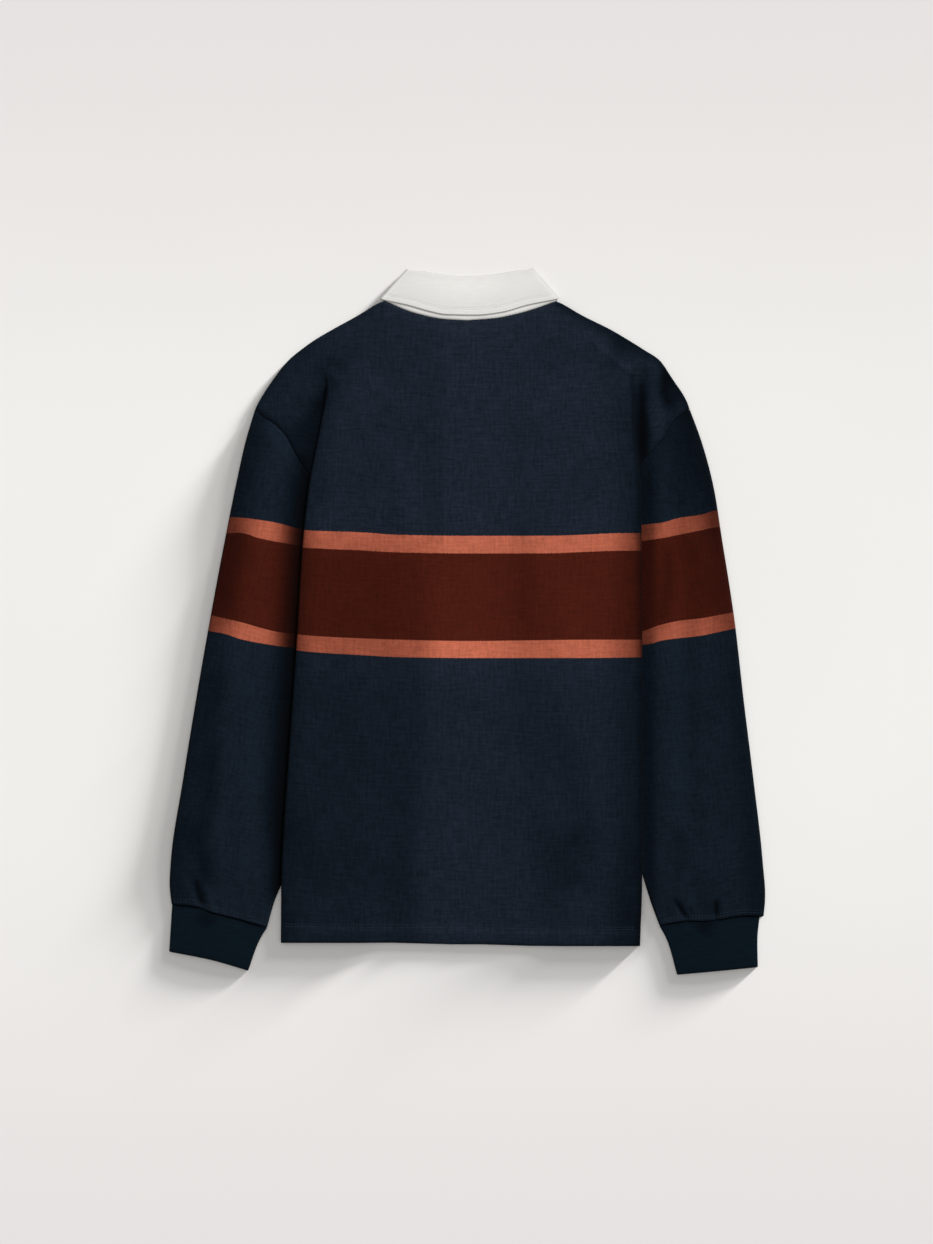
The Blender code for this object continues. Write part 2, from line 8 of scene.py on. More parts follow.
import functools
import json
import math

import bpy
import numpy as np
from mathutils.bvhtree import BVHTree
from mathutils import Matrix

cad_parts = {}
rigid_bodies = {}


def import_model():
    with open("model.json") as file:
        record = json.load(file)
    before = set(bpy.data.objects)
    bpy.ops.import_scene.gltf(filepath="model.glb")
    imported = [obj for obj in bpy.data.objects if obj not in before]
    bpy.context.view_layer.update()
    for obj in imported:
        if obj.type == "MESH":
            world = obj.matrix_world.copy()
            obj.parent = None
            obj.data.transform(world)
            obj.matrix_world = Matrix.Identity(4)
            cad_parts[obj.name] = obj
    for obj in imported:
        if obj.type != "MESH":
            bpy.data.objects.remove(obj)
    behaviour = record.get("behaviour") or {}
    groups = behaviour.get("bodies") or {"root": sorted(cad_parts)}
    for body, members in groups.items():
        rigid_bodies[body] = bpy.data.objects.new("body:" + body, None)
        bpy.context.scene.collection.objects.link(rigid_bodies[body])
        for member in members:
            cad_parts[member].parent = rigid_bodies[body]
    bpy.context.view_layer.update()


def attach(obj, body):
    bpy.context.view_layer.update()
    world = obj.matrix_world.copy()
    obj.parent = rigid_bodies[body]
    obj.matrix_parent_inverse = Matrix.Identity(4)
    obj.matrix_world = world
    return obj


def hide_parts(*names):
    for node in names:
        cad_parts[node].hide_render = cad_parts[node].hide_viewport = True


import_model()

MM = 0.001
WALL = 1.1
SEAM_GAP = 0.3
EDGE_GAP = 0.35
RIM = 0.3

# Layers of the body, measured at the middle of its two panels
HALF_GAP = SEAM_GAP / 2
HALF_BAG = HALF_GAP + WALL
LOW_LEVEL = HALF_BAG
LAYER_STEP = 2 * HALF_BAG + SEAM_GAP
TURN_RADIUS = LAYER_STEP / 2
OUTER_TURN = TURN_RADIUS + HALF_BAG
START_LENGTH = 2.0
RAMP_LENGTH = 42.0
PLATEAU_MARGIN = 6.0
PLAIN_PLATEAU = 8.0

UNDERARM_Y = 109.0
UNDERARM_X = {-1: 80.0, 1: 84.0}
HEM_Y = {-1: -362.8, 1: -366.4}
HEM_SIDE_SEAM = {-1: 133.0, 1: 120.0}
FLAP_LOWERS_FROM = 1.86
FOLD_DONE = 0.28

# Height, and distance of the folded edge from the middle line
FOLD_EDGE = {
    -1: ((-363, 210.2), (-298, 209.6), (-134, 200.0), (-38, 193.2), (81, 185.9),
         (152, 178.5), (188, 171.8), (222, 165.0), (267, 158.2), (330, 158.2)),
    1: ((-366, 195.5), (-281, 197.8), (-44, 197.8), (134, 196.6), (180, 194.4),
        (213, 190.5), (278, 187.6), (330, 187.6)),
}
# Row, and how far the fold has fallen from the shoulder to the underarm
FOLD_FALL = {
    -1: ((0, 0), (0.14, 0.16), (0.28, 0.30), (1, 1)),
    1: ((0, 0), (0.14, 0.08), (0.28, 0.19), (1, 1)),
}
# Row, and how far the pleat has turned over in degrees
FOLD_TURN = ((0, 0), (0.14, 0), (0.2, 22), (0.245, 92), (FOLD_DONE, 180), (2, 180))

# Distance from the middle line, and height
SHOULDER = {
    -1: ((92.7, 362.0), (99.4, 359.6), (122.0, 346.3), (152.6, 329.4), (171.8, 318.1),
         (187.6, 306.8), (201.1, 295.5), (219.2, 272.9), (233.9, 250.3), (239.1, 240.1)),
    1: ((100.9, 361.6), (106.0, 359.4), (128.8, 346.3), (162.7, 329.4), (181.9, 318.1),
        (200.0, 306.8), (217.0, 295.5), (232.8, 272.9), (247.5, 250.3), (251.4, 240.1)),
}
ARMHOLE = {
    -1: ((239.1, 240.1), (235.0, 235.6), (217.0, 223.2), (205.1, 210.1), (195.1, 191.9),
         (183.6, 173.5), (150.0, 140.0), (90.0, 109.0)),
    1: ((251.4, 240.1), (246.0, 236.7), (232.8, 226.6), (221.1, 206.7), (206.2, 190.4),
        (192.0, 174.0), (155.0, 140.0), (94.0, 109.0)),
}
BACK_NECK = {
    -1: ((0, 340.0), (28.3, 341.8), (50.9, 346.3), (70.6, 352.4), (92.4, 362.3)),
    1: ((0, 340.0), (32.2, 342.5), (53.8, 346.8), (75.5, 352.9), (100.6, 361.9)),
}
FRONT_NECK = {
    -1: ((0, 277.0), (18.0, 278.5), (45.0, 288.0), (70.0, 308.0), (84.0, 330.0), (92.4, 362.3)),
    1: ((0, 277.0), (18.0, 278.5), (48.0, 288.0), (75.0, 308.0), (91.0, 330.0), (100.6, 361.9)),
}

# Outer and inner edges of each sleeve from the armhole to the cuff seam
SLEEVE_OUTER = {
    -1: ((239.1, 240.1), (249.7, 205.1), (259.9, 159.9), (273.5, 92.1), (290.4, 1.7),
         (306.2, -88.7), (320.9, -179.1), (334.5, -269.5), (335.8, -300.0), (333.7, -319.2)),
    1: ((251.4, 240.1), (264.4, 205.1), (276.9, 159.9), (288.2, 92.1), (302.2, 1.7),
        (312.6, -88.7), (323.7, -179.1), (333.9, -269.5), (336.7, -315.8), (335.0, -333.0)),
}
SLEEVE_INNER = {
    -1: ((90.0, 109.0), (209.1, -296.2), (217.0, -314.7), (225.8, -345.2)),
    1: ((94.0, 109.0), (197.4, -283.1), (208.5, -319.4), (217.2, -342.9)),
}
CUFF_SEAM = {
    -1: ((333.7, -319.2), (306.7, -321.5), (292.0, -326.8), (254.3, -336.6), (225.8, -345.2)),
    1: ((335.0, -333.0), (319.8, -331.7), (271.0, -337.9), (241.5, -338.4), (217.2, -342.9)),
}
CUFF_TOP = {
    -1: ((333.0, -319.6), (306.7, -321.9), (292.0, -327.2), (254.3, -337.0), (225.8, -345.6)),
    1: ((330.6, -333.2), (319.8, -332.1), (271.0, -338.3), (241.5, -338.8), (217.2, -343.3)),
}
CUFF_END = {
    -1: ((336.4, -372.8), (284.8, -383.2), (247.2, -394.3)),
    1: ((328.5, -390.4), (285.0, -394.6), (237.4, -399.0)),
}
CUFF_OUTER = {
    -1: ((333.0, -319.6), (336.4, -372.8)),
    1: ((330.6, -333.2), (328.5, -351.3), (328.5, -390.4)),
}
CUFF_INNER = {
    -1: ((225.8, -345.6), (233.2, -357.6), (247.2, -394.3)),
    1: ((217.2, -343.3), (224.3, -356.3), (237.4, -399.0)),
}

# Collar in the flat: where it rolls over and where its leaf ends, behind and in front
ROLL_BACK = {
    -1: ((0, 388.8), (5.7, 388.8), (28.3, 390.8), (50.9, 394.4), (66.9, 395.6)),
    1: ((0, 388.8), (10.0, 388.9), (32.0, 391.0), (56.0, 394.9), (73.2, 396.7)),
}
LEAF_BACK = {
    -1: ((0, 346.0), (24.9, 346.8), (43.4, 350.6), (66.1, 357.1), (95.7, 363.4)),
    1: ((0, 346.0), (10.2, 346.0), (39.6, 349.3), (67.8, 357.2), (102.0, 364.0)),
}
ROLL_FRONT = {
    -1: ((66.9, 395.6), (63.0, 370.0), (50.0, 345.0), (28.0, 322.0), (1.5, 308.0)),
    1: ((73.2, 396.7), (68.0, 370.0), (54.0, 345.0), (30.0, 322.0), (1.5, 308.0)),
}
LEAF_FRONT = {
    -1: ((95.7, 363.4), (92.0, 335.0), (86.0, 305.0), (75.0, 272.0), (60.0, 243.0)),
    1: ((102.0, 364.0), (98.0, 335.0), (91.0, 305.0), (80.0, 272.0), (64.0, 243.0)),
}
COLLAR_MEETS = 1.5
COLLAR_MIDDLE = 2.8
STAND_RADIUS = 0.85
LEAF_RADIUS = 2.25
NECK_LEVEL = COLLAR_MIDDLE

SLOT_HALF = 18.0
PLACKET_LEVEL = 3.75
PLACKET_HALF_GAP = 0.85
# Where the body starts and ends its climb over the collar and over the placket
COLLAR_CLIMB_X = (145, 104)
COLLAR_CLIMB_Y = (196, 236)
PLACKET_CLIMB_X = (56, 20)
PLACKET_CLIMB_LOW = (62, 104)
PLACKET_CLIMB_HIGH = (318, 279)
# Extra half gap on those climbs, and the distance across from which all of it is there
SLOPE_GAP = 0.35
SLOPE_GAP_FROM = 30
BUTTON_HEIGHTS = (252.0, 202.0, 152.0)
BUTTON_RADIUS = 6.0
BUTTON_THICKNESS = 1.5

# Hoops of the cloth, as heights on the middle line: orange, maroon, orange
HOOP_LINES = (96.6, 76.8, -22.0, -41.2)
# Place across, and how far each of the four lines lies from its height on the middle line
BODY_HOOPS = (
    ((-200, 9), (-177, 6), (-121, 4), (-76, 1), (0, 0), (90, 0), (128, 1), (173, 3), (200, 3)),
    ((-200, 8), (-177, 6), (-121, 3.5), (-76, 1), (0, 0), (90, 0), (128, 1.5), (173, 3), (200, 3)),
    ((-200, 9), (-177, 6), (-121, 3), (-76, 1.5), (0, 0), (90, 1), (128, 1.5), (200, 1.5)),
    ((-200, 10), (-177, 7), (-121, 3.5), (-76, 1), (0, 0), (90, 0), (128, 0), (200, 1)),
)
SLEEVE_HOOPS = {
    -1: (((-300, 25.5), (-272, 21.5), (-256, 20.5), (-234, 18), (-211, 14), (-188, 8), (-90, 0)),
         ((-300, 27), (-272, 23), (-256, 23.5), (-234, 17), (-211, 12.5), (-188, 9), (-90, 0)),
         ((-300, 32), (-272, 25), (-256, 21.5), (-234, 15), (-211, 9.5), (-188, 7), (-90, 0)),
         ((-300, 32), (-272, 27), (-256, 21.5), (-234, 17), (-211, 13.5), (-188, 11), (-90, 2))),
    1: (((90, 0), (196, 12), (207, 13.5), (218, 14.5), (241, 20.5), (263, 23.5), (280, 28.5), (310, 33)),
        ((90, 0), (196, 14), (207, 15.5), (218, 17), (241, 21.5), (263, 26), (280, 29.5), (310, 33)),
        ((90, 0), (196, 10), (207, 14), (218, 18), (241, 23), (263, 25.5), (280, 28.5), (310, 34)),
        ((90, 0), (196, 15), (207, 16), (218, 19.5), (241, 22.5), (263, 25), (280, 28.5), (310, 35))),
}

# Soft folds of the back: start, end, half width and height of each
BODY_FOLDS = (
    ((-56, 95), (-60, -355), 13, 1.3),
    ((-90, 20), (-96, -350), 15, -1.4),
    ((-120, -30), (-122, -340), 13, 1.0),
    ((-152, -10), (-152, -250), 12, -1.0),
    ((64, 75), (66, -20), 12, -0.9),
    ((82, 30), (96, -120), 13, -1.2),
    ((98, -110), (130, -262), 15, -1.5),
    ((120, -250), (140, -318), 13, -2.2),
    ((146, -210), (176, -300), 12, 1.4),
    ((100, -230), (118, -335), 12, 1.0),
    ((-186, -240), (-168, -310), 16, -1.2),
    ((-150, 262), (-118, 190), 9, -0.9),
    ((-140, 300), (-86, 236), 12, 1.0),
    ((170, 300), (150, 225), 10, -0.4),
    ((150, 312), (124, 240), 12, 0.9),
    ((30, -70), (22, -300), 20, 0.6),
    ((-118, 150), (-128, 20), 14, 0.3),
    ((-24.5, 322), (-25, 112), 2.2, 0.45),
    ((-22.6, 312), (31.6, 312), 14, 0.4),
)
# The same on the part of the shoulders outside the folded sides
SHOULDER_FOLDS = (
    ((-150, 290), (-168, 262), 11, -2.6),
    ((-160, 262), (-196, 196), 11, -2.2),
    ((-176, 304), (-214, 236), 12, 1.6),
    ((-205, 270), (-226, 228), 8, -0.8),
    ((197, 282), (199, 178), 7, -2.8),
    ((212, 296), (214, 186), 8, 1.7),
    ((226, 288), (228, 214), 7, -2.0),
    ((240, 268), (242, 236), 6, 1.0),
    ((156, 322), (186, 300), 10, -0.8),
)
SLEEVE_FOLDS = {
    -1: (((-281, -40), (-303, -290), 11, -2.4),
         ((-276, -30), (-280, -280), 10, 0.9),
         ((-318, -120), (-325, -290), 8, 1.0),
         ((-258, -60), (-252, -310), 13, 1.6),
         ((-246, 196), (-236, 60), 14, 1.4),
         ((-268, 170), (-266, 60), 11, -1.2),
         ((-222, -20), (-282, -60), 9, 0.8),
         ((-305, -240), (-300, -300), 7, -1.6)),
    1: (((246, 60), (258, -260), 12, -2.0),
        ((286, 20), (296, -285), 14, 1.8),
        ((226, -30), (232, -240), 10, 1.2),
        ((236, 190), (240, 60), 9, -1.6),
        ((258, 200), (266, 60), 10, 1.4),
        ((214, 170), (216, 60), 7, 1.2),
        ((240, -250), (262, -322), 8, -1.6),
        ((216, -180), (290, -214), 9, 0.8)),
}
# Stretches of painted shade on each sleeve
SLEEVE_PAINTED_SHADES = {
    -1: (((-281, -50), (-291, -150), 11, 0.3),
         ((-291, -150), (-303, -240), 11, 0.32),
         ((-304, -226), (-300, -300), 16, 0.5),
         ((-280, -140), (-288, -210), 9, 0.24),
         ((-262, 90), (-266, 0), 14, 0.26),
         ((-268, 170), (-266, 100), 11, 0.1)),
    1: (((246, 60), (256, -200), 12, 0.16),
        ((226, 84), (224, -4), 9, 0.32),
        ((256, 92), (262, 0), 18, 0.14),
        ((238, -236), (241, -288), 9, 0.32),
        ((236, 190), (240, 60), 9, 0.14),
        ((300, -200), (318, -290), 14, 0.14),
        ((278, -285), (276, -334), 34, 0.13)),
}
# Gathers above each cuff: distance across, length, half width, height, lean outward, light lost to shade
# painted in the crease
CUFF_GATHERS = {
    -1: ((321, 24, 3.6, 0.6, 0.0, 0), (308, 34, 5.0, 1.0, 0.3, 0), (297.5, 36, 5.4, -2.2, 0.3, 0.82),
         (288, 28, 4.0, 0.9, 0.2, 0), (280, 17, 2.6, -0.9, 0.1, 0.2), (267, 20, 4.4, 0.6, 0.0, 0),
         (247, 24, 4.0, 0.6, -0.1, 0), (235, 18, 2.8, 0.5, 0.0, 0)),
    1: ((323, 20, 3.6, 0.6, 0.1, 0), (305, 18, 3.4, 0.6, 0.0, 0), (289, 24, 3.4, 1.0, 0.0, 0),
        (281.4, 28, 3.2, -2.0, 0.0, 0.92), (272, 26, 7.0, -0.5, -0.1, 0.3),
        (257, 20, 2.4, -1.2, -0.4, 0.45), (253.6, 24, 2.2, 1.0, -0.5, 0),
        (250, 31, 3.6, -2.1, -0.6, 0.88), (240, 26, 4.0, 1.0, -0.4, 0)),
}
# Painted shade on each cuff below the creases of its sleeve
CUFF_PAINTED_SHADES = {
    -1: (((-298, -328), (-290, -344), 9, 0.5),),
    1: (((272, -338), (266, -352), 10, 0.52),),
}

# Stretches of painted shade on the back: start, end, half width and share of the light that is lost
BODY_PAINTED_SHADES = (
    ((64, 70), (66, -20), 14, 0.1),
    ((82, 20), (96, -120), 14, 0.1),
    ((98, -120), (122, -240), 18, 0.16),
    ((108, -236), (128, -302), 25, 0.43),
    ((112, -130), (116, -240), 40, 0.1),
    ((70, 300), (180, 302), 24, 0.15),
    ((-186, 300), (-128, 298), 22, 0.24),
    ((-98, 236), (-90, 134), 24, 0.12),
    ((-158, 170), (-166, 128), 18, 0.15),
    ((176, -330), (180, -362), 22, 0.2),
    ((-110, -250), (-112, -300), 34, 0.14),
    ((-198, -330), (-198, -358), 14, 0.2),
    ((118, 172), (150, 140), 26, 0.1),
    ((176, -250), (184, -330), 18, 0.3),
    ((-84, -60), (-86, -350), 12, 0.06),
    ((-84, 190), (-84, 112), 12, 0.08),
    ((-153, -50), (-150, -240), 13, 0.08),
    ((-108, 72), (-108, -20), 14, 0.05),
    ((-192, -215), (-172, -305), 24, 0.24),
    ((-152, 284), (-178, 236), 13, 0.42),
    ((-150, 275), (-156, 268), 5, 0.4),
    ((-186, 230), (-198, 170), 14, 0.5),
    ((-214, 300), (-236, 244), 14, 0.2),
    ((196, 276), (201, 176), 7, 0.88),
    ((201, 234), (200, 184), 5, 0.45),
    ((222, 286), (228, 240), 9, 0.84),
    ((228, 280), (248, 246), 11, 0.5),
    ((166, 314), (188, 288), 12, 0.22),
    ((-136, 296), (-122, 290), 20, 0.12),
    ((229, 230), (231, 160), 7, 0.3),
    ((168, 322), (196, 306), 11, 0.3),
    ((158, 302), (178, 290), 12, 0.2),
    ((24, 296), (126, 298), 20, 0.07),
    ((-132, 297), (-44, 297), 20, 0.07),
    ((-181, -140), (-181, -300), 20, 0.12),
    ((-96, -130), (-98, -230), 24, 0.1),
    ((-212, -40), (-212, -230), 5, 0.3),
)
# Light kept below the hoops, as painted shade
LOWER_PAINTED_SHADE = 0.84
# Height, and right and left ends of the step past which shade is painted on the left of the back, as if
# it leaned away
PAINTED_LEAN_RIGHT = ((-366, -34), (-200, -34), (-100, -30), (40, -22), (112, -20))
PAINTED_LEAN_LEFT = ((-366, -68), (-200, -66), (-100, -58), (40, -60), (70, -60), (112, -34))
# Height, and light lost to painted shade past the step
PAINTED_LEAN_LOST = ((60, 0.31), (112, 0.12))
# Above this height the sleeves take the body's folded edge as upright
FOLD_TOP = 267.0
# Heights that cloth rises by: the back all over, more at its middle, the sleeves and the cuffs
BACK_LOFT = 1.3
MIDDLE_LOFT = 3.2
SLEEVE_LOFT = 5.0
CUFF_LOFT = 2.4
HEM_DEPTH = 19.8
# Turn in radians at which the cloth of a pleat's fold is wholly rounded
BENT_BY = 1.1


def smooth_table(table):
    """The rows of a table with the slopes of a smooth line that never overshoots them."""
    keys = [row[0] for row in table]
    values = [row[1] for row in table]
    steps = [(b - a) / (d - c) for a, b, c, d in zip(values, values[1:], keys, keys[1:])]
    slopes = [steps[0]]
    for before, after in zip(steps, steps[1:]):
        slopes.append(0.0 if before * after <= 0 else 2 * before * after / (before + after))
    slopes.append(steps[-1])
    return keys, values, slopes


@functools.lru_cache(maxsize=None)
def smooth_rows(table):
    return smooth_table(table)


def lookup(table, key):
    """Reads a table of rising keys along a smooth line."""
    keys, values, slopes = smooth_rows(table)
    if key <= keys[0]:
        return values[0]
    if key >= keys[-1]:
        return values[-1]
    place = next(i for i in range(1, len(keys)) if key <= keys[i])
    width = keys[place] - keys[place - 1]
    t = (key - keys[place - 1]) / width
    low, high = values[place - 1], values[place]
    rise = slopes[place - 1] * width * t * (1 - t) ** 2 - slopes[place] * width * t * t * (1 - t)
    return low + (high - low) * t * t * (3 - 2 * t) + rise


@functools.lru_cache(maxsize=None)
def rounded(points):
    """A line through the points with its corners rounded, and the length up to each point."""
    lengths = [math.dist(a, b) for a, b in zip(points, points[1:])]
    ways = [unit(b[0] - a[0], b[1] - a[1]) for a, b in zip(points, points[1:])]
    headings = [ways[0]]
    for i in range(1, len(ways)):
        near, far = lengths[i], lengths[i - 1]
        headings.append(unit(ways[i - 1][0] * near + ways[i][0] * far,
                             ways[i - 1][1] * near + ways[i][1] * far))
    headings.append(ways[-1])
    dense = []
    for i, length in enumerate(lengths):
        for step in range(12):
            t = step / 12
            eased = t * t * (3 - 2 * t)
            leaving, arriving = t * (1 - t) ** 2 * length, -t * t * (1 - t) * length
            dense.append(tuple(
                mix(a, b, eased) + leaving * c + arriving * d
                for a, b, c, d in zip(points[i], points[i + 1], headings[i], headings[i + 1])))
    dense.append(points[-1])
    lengths = [0.0]
    for a, b in zip(dense, dense[1:]):
        lengths.append(lengths[-1] + math.dist(a, b))
    return dense, lengths


def along(points, part):
    """Point at this part of the length of the rounded line through the points."""
    dense, lengths = rounded(points)
    target = min(max(part, 0.0), 1.0) * lengths[-1]
    place = min(max(int(np.searchsorted(lengths, target)), 1), len(dense) - 1)
    share = (target - lengths[place - 1]) / (lengths[place] - lengths[place - 1])
    return tuple(mix(a, b, share) for a, b in zip(dense[place - 1], dense[place]))


def mix(first, second, share):
    return first + (second - first) * share


def mix_points(first, second, share):
    return tuple(mix(a, b, share) for a, b in zip(first, second))


def ease(start, end, value):
    """0 before start, 1 after end, smooth between."""
    share = min(max((value - start) / (end - start), 0.0), 1.0)
    return share * share * (3 - 2 * share)


def unit(dx, dy):
    length = math.hypot(dx, dy)
    return dx / length, dy / length


def folds_at(folds, x, y):
    """Height that a table of soft folds adds at a place.

    Each fold wavers a little along its line and fades out past its ends.
    """
    total = 0.0
    for (x0, y0), (x1, y1), half_width, height in folds:
        dx, dy = x1 - x0, y1 - y0
        length = math.hypot(dx, dy)
        part = ((x - x0) * dx + (y - y0) * dy) / length ** 2
        if part < -0.3 or part > 1.3:
            continue
        waver = 0.25 * half_width * math.sin(part * 5.0 + x0)
        off = (((x - x0) * dy - (y - y0) * dx) / length + waver) / half_width
        if abs(off) > 3:
            continue
        ends = ease(-0.25, 0.2, part) * ease(1.25, 0.75, part)
        total += height * math.exp(-off * off) * ends
    return total


def kept_under_painted_shade(shades, x, y):
    """Share of the light left at a place by a table of stretches of painted shade."""
    kept = 1.0
    for row in shades:
        kept *= 1 - max(folds_at((row,), x, y), 0.0)
    return kept


def collar_share(across, height):
    """How far the body has climbed over the collar at a place, 0 to 1."""
    return ease(*COLLAR_CLIMB_X, across) * ease(*COLLAR_CLIMB_Y, height)


def placket_share(across, height):
    """How far the body has climbed over the placket at a place, 0 to 1."""
    along_slot = ease(*PLACKET_CLIMB_LOW, height) * ease(*PLACKET_CLIMB_HIGH, height)
    return ease(*PLACKET_CLIMB_X, across) * along_slot


def bag_level(across, height):
    """Middle height of the body where it lies in one layer."""
    plain = mix(LOW_LEVEL, NECK_LEVEL, collar_share(across, height))
    return mix(plain, PLACKET_LEVEL, placket_share(across, height))


def bag_half_gap(across, height):
    """Half the space between the panels, wider where they climb over the collar and placket."""
    collar, placket = collar_share(across, height), placket_share(across, height)
    plain = mix(HALF_GAP, SEAM_GAP, collar)
    slopes = 4 * collar * (1 - collar) * (1 - placket) + 4 * placket * (1 - placket)
    beside_slot = ease(SLOT_HALF, SLOPE_GAP_FROM, across)
    return mix(plain, PLACKET_HALF_GAP, placket) + SLOPE_GAP * slopes * beside_slot


@functools.lru_cache(maxsize=None)
def section(side, row):
    """Sizes of the folded side of the body at one row."""
    above = min(row, 1.0)
    below = max(row - 1.0, 0.0)
    shoulder_y = lookup(SHOULDER[side], FOLD_EDGE[side][-1][1])
    fold_y = mix(shoulder_y, UNDERARM_Y, lookup(FOLD_FALL[side], above))
    fold_y = mix(fold_y, HEM_Y[side], below)
    edge = lookup(FOLD_EDGE[side], fold_y) - OUTER_TURN
    underarm_edge = lookup(FOLD_EDGE[side], UNDERARM_Y) - OUTER_TURN
    full = underarm_edge - UNDERARM_X[side]
    opened = max(above - FOLD_DONE, 0.0) / (1 - FOLD_DONE)
    length = mix(START_LENGTH, full, opened)
    if row > 1:
        length = edge - mix(UNDERARM_X[side], HEM_SIDE_SEAM[side], below)
    turn = math.radians(lookup(FOLD_TURN, row))
    top = LOW_LEVEL + 2 * TURN_RADIUS * (1 - math.cos(turn)) + length * math.sin(turn)
    if row > 1:
        top = LOW_LEVEL + LAYER_STEP * (1 + ease(2, FLAP_LOWERS_FROM, row))
    plateau = edge - PLAIN_PLATEAU
    if row >= FOLD_DONE:
        plateau = edge - length - PLATEAU_MARGIN
    start = plateau - RAMP_LENGTH
    if row < FOLD_DONE:
        start = mix(SHOULDER[side][0][0], start, ease(0, FOLD_DONE, row))
    return fold_y, edge, length, turn, top, plateau, start


def top_edge(side, across, neck):
    """Height of the panel's top edge, at its neckline or its shoulder."""
    if across <= SHOULDER[side][0][0]:
        return lookup(neck[side], across - SEAM_GAP) - EDGE_GAP
    return lookup(SHOULDER[side], across)


def row_height(side, row, start_across, neck, sideways):
    """Height of a point of this row, which started at start_across on the top edge."""
    own = lookup(FOLD_FALL[side], row)
    both = (lookup(FOLD_FALL[-1], row) + lookup(FOLD_FALL[1], row)) / 2
    if row <= 1:
        return mix(top_edge(side, start_across, neck), UNDERARM_Y, mix(both, own, sideways))
    hem = mix((HEM_Y[-1] + HEM_Y[1]) / 2, HEM_Y[side], sideways)
    return mix(UNDERARM_Y, hem, row - 1)


def bag_point(side, group, share, row, neck):
    """Point between the panels: across, height, level, its normal and the half gap."""
    fold_y, edge, length, turn, top, plateau, start = section(side, row)
    first = section(side, 0)
    if group in ("slot", "panel"):
        inner, outer = (0.0, SLOT_HALF) if group == "slot" else (SLOT_HALF, start)
        began = mix(inner, SLOT_HALF if group == "slot" else first[6], share)
        across = mix(inner, outer, share)
        height = row_height(side, row, began, neck, share if group == "panel" else 0.0)
        return across, height, bag_level(across, height), (0.0, 1.0), bag_half_gap(across, height)
    if group in ("ramp", "plateau"):
        inner, outer = (start, plateau) if group == "ramp" else (plateau, edge)
        began = mix(first[6], first[5], share) if group == "ramp" else mix(first[5], first[1], share)
        across = mix(inner, outer, share)
        height = row_height(side, row, began, neck, 1.0)
        rise = ease(start, plateau, across)
        level = mix(bag_level(across, height), top, rise)
        gap = mix(bag_half_gap(across, height), HALF_GAP, rise)
        return across, height, level, (0.0, 1.0), gap
    flat = 1 - turn / math.pi
    near = math.pi * TURN_RADIUS
    bent = ease(0, BENT_BY, turn)
    turned = share if group == "turn" else 1.0
    angle = turn * turned
    walked = {"turn": 0.0, "under": length * share}.get(group, length)
    offset = near * turned + walked
    across = edge + mix(near * turned, TURN_RADIUS * math.sin(angle), bent) + walked * math.cos(turn)
    level = top - TURN_RADIUS * (1 - math.cos(angle)) - walked * math.sin(turn)
    if group in ("return", "arm"):
        unturned = share if group == "return" else 1.0
        angle = turn * (1 - unturned)
        offset += near * unturned
        level -= TURN_RADIUS * (math.cos(angle) - math.cos(turn))
        across += mix(near * unturned, TURN_RADIUS * (math.sin(turn) - math.sin(angle)), bent)
    height = mix(fold_y, row_height(side, row, first[1] + offset, neck, 1.0), flat * flat)
    if group != "arm":
        return across, height, level, (math.sin(angle), math.cos(angle)), HALF_GAP
    seam = along(ARMHOLE[side], row)
    near_end = first[1] + 2 * near + START_LENGTH
    began = mix(near_end, SHOULDER[side][-1][0], share)
    straight = mix(lookup(SHOULDER[side], near_end), SHOULDER[side][-1][1], share)
    bulge = (lookup(SHOULDER[side], began) - straight) * max(1 - row / FOLD_DONE, 0.0)
    return mix(across, seam[0], share), mix(height, seam[1], share) + bulge, level, (0.0, 1.0), HALF_GAP


def steps(count):
    return [step / count for step in range(1, count + 1)]


def half_columns(counts):
    """Columns from the middle outward, as a group and a share of its width."""
    columns = [("slot", 0.0)]
    for group, count in counts:
        columns += [(group, share) for share in steps(count)]
    return columns


GROUPS = ("slot", "panel", "ramp", "plateau", "turn", "under", "return", "arm")
FINE = tuple(zip(GROUPS, (4, 16, 13, 16, 14, 12, 12, 20)))
PLAIN = tuple(zip(GROUPS, (2, 8, 8, 6, 10, 6, 8, 8)))


def hoop_at(x, y, lines):
    """Height on the middle line of the cloth that lies at this place."""
    places = [level + lookup(line, x) for level, line in zip(HOOP_LINES, lines)]
    if y >= places[0]:
        return y - places[0] + HOOP_LINES[0]
    for high, low, from_high, from_low in zip(places, places[1:], HOOP_LINES, HOOP_LINES[1:]):
        if y >= low:
            return mix(from_low, from_high, (y - low) / (high - low))
    return y - places[-1] + HOOP_LINES[-1]


def linked(name, data):
    """A new object of this data in the scene."""
    made = bpy.data.objects.new(name, data)
    bpy.context.scene.collection.objects.link(made)
    return made


def smooth_mesh(name, points, faces, material):
    """A smooth mesh of points in millimetres."""
    mesh = bpy.data.meshes.new(name)
    mesh.from_pydata([tuple(value * MM for value in point) for point in points], [], faces)
    mesh.shade_smooth()
    mesh.materials.append(material)
    return mesh


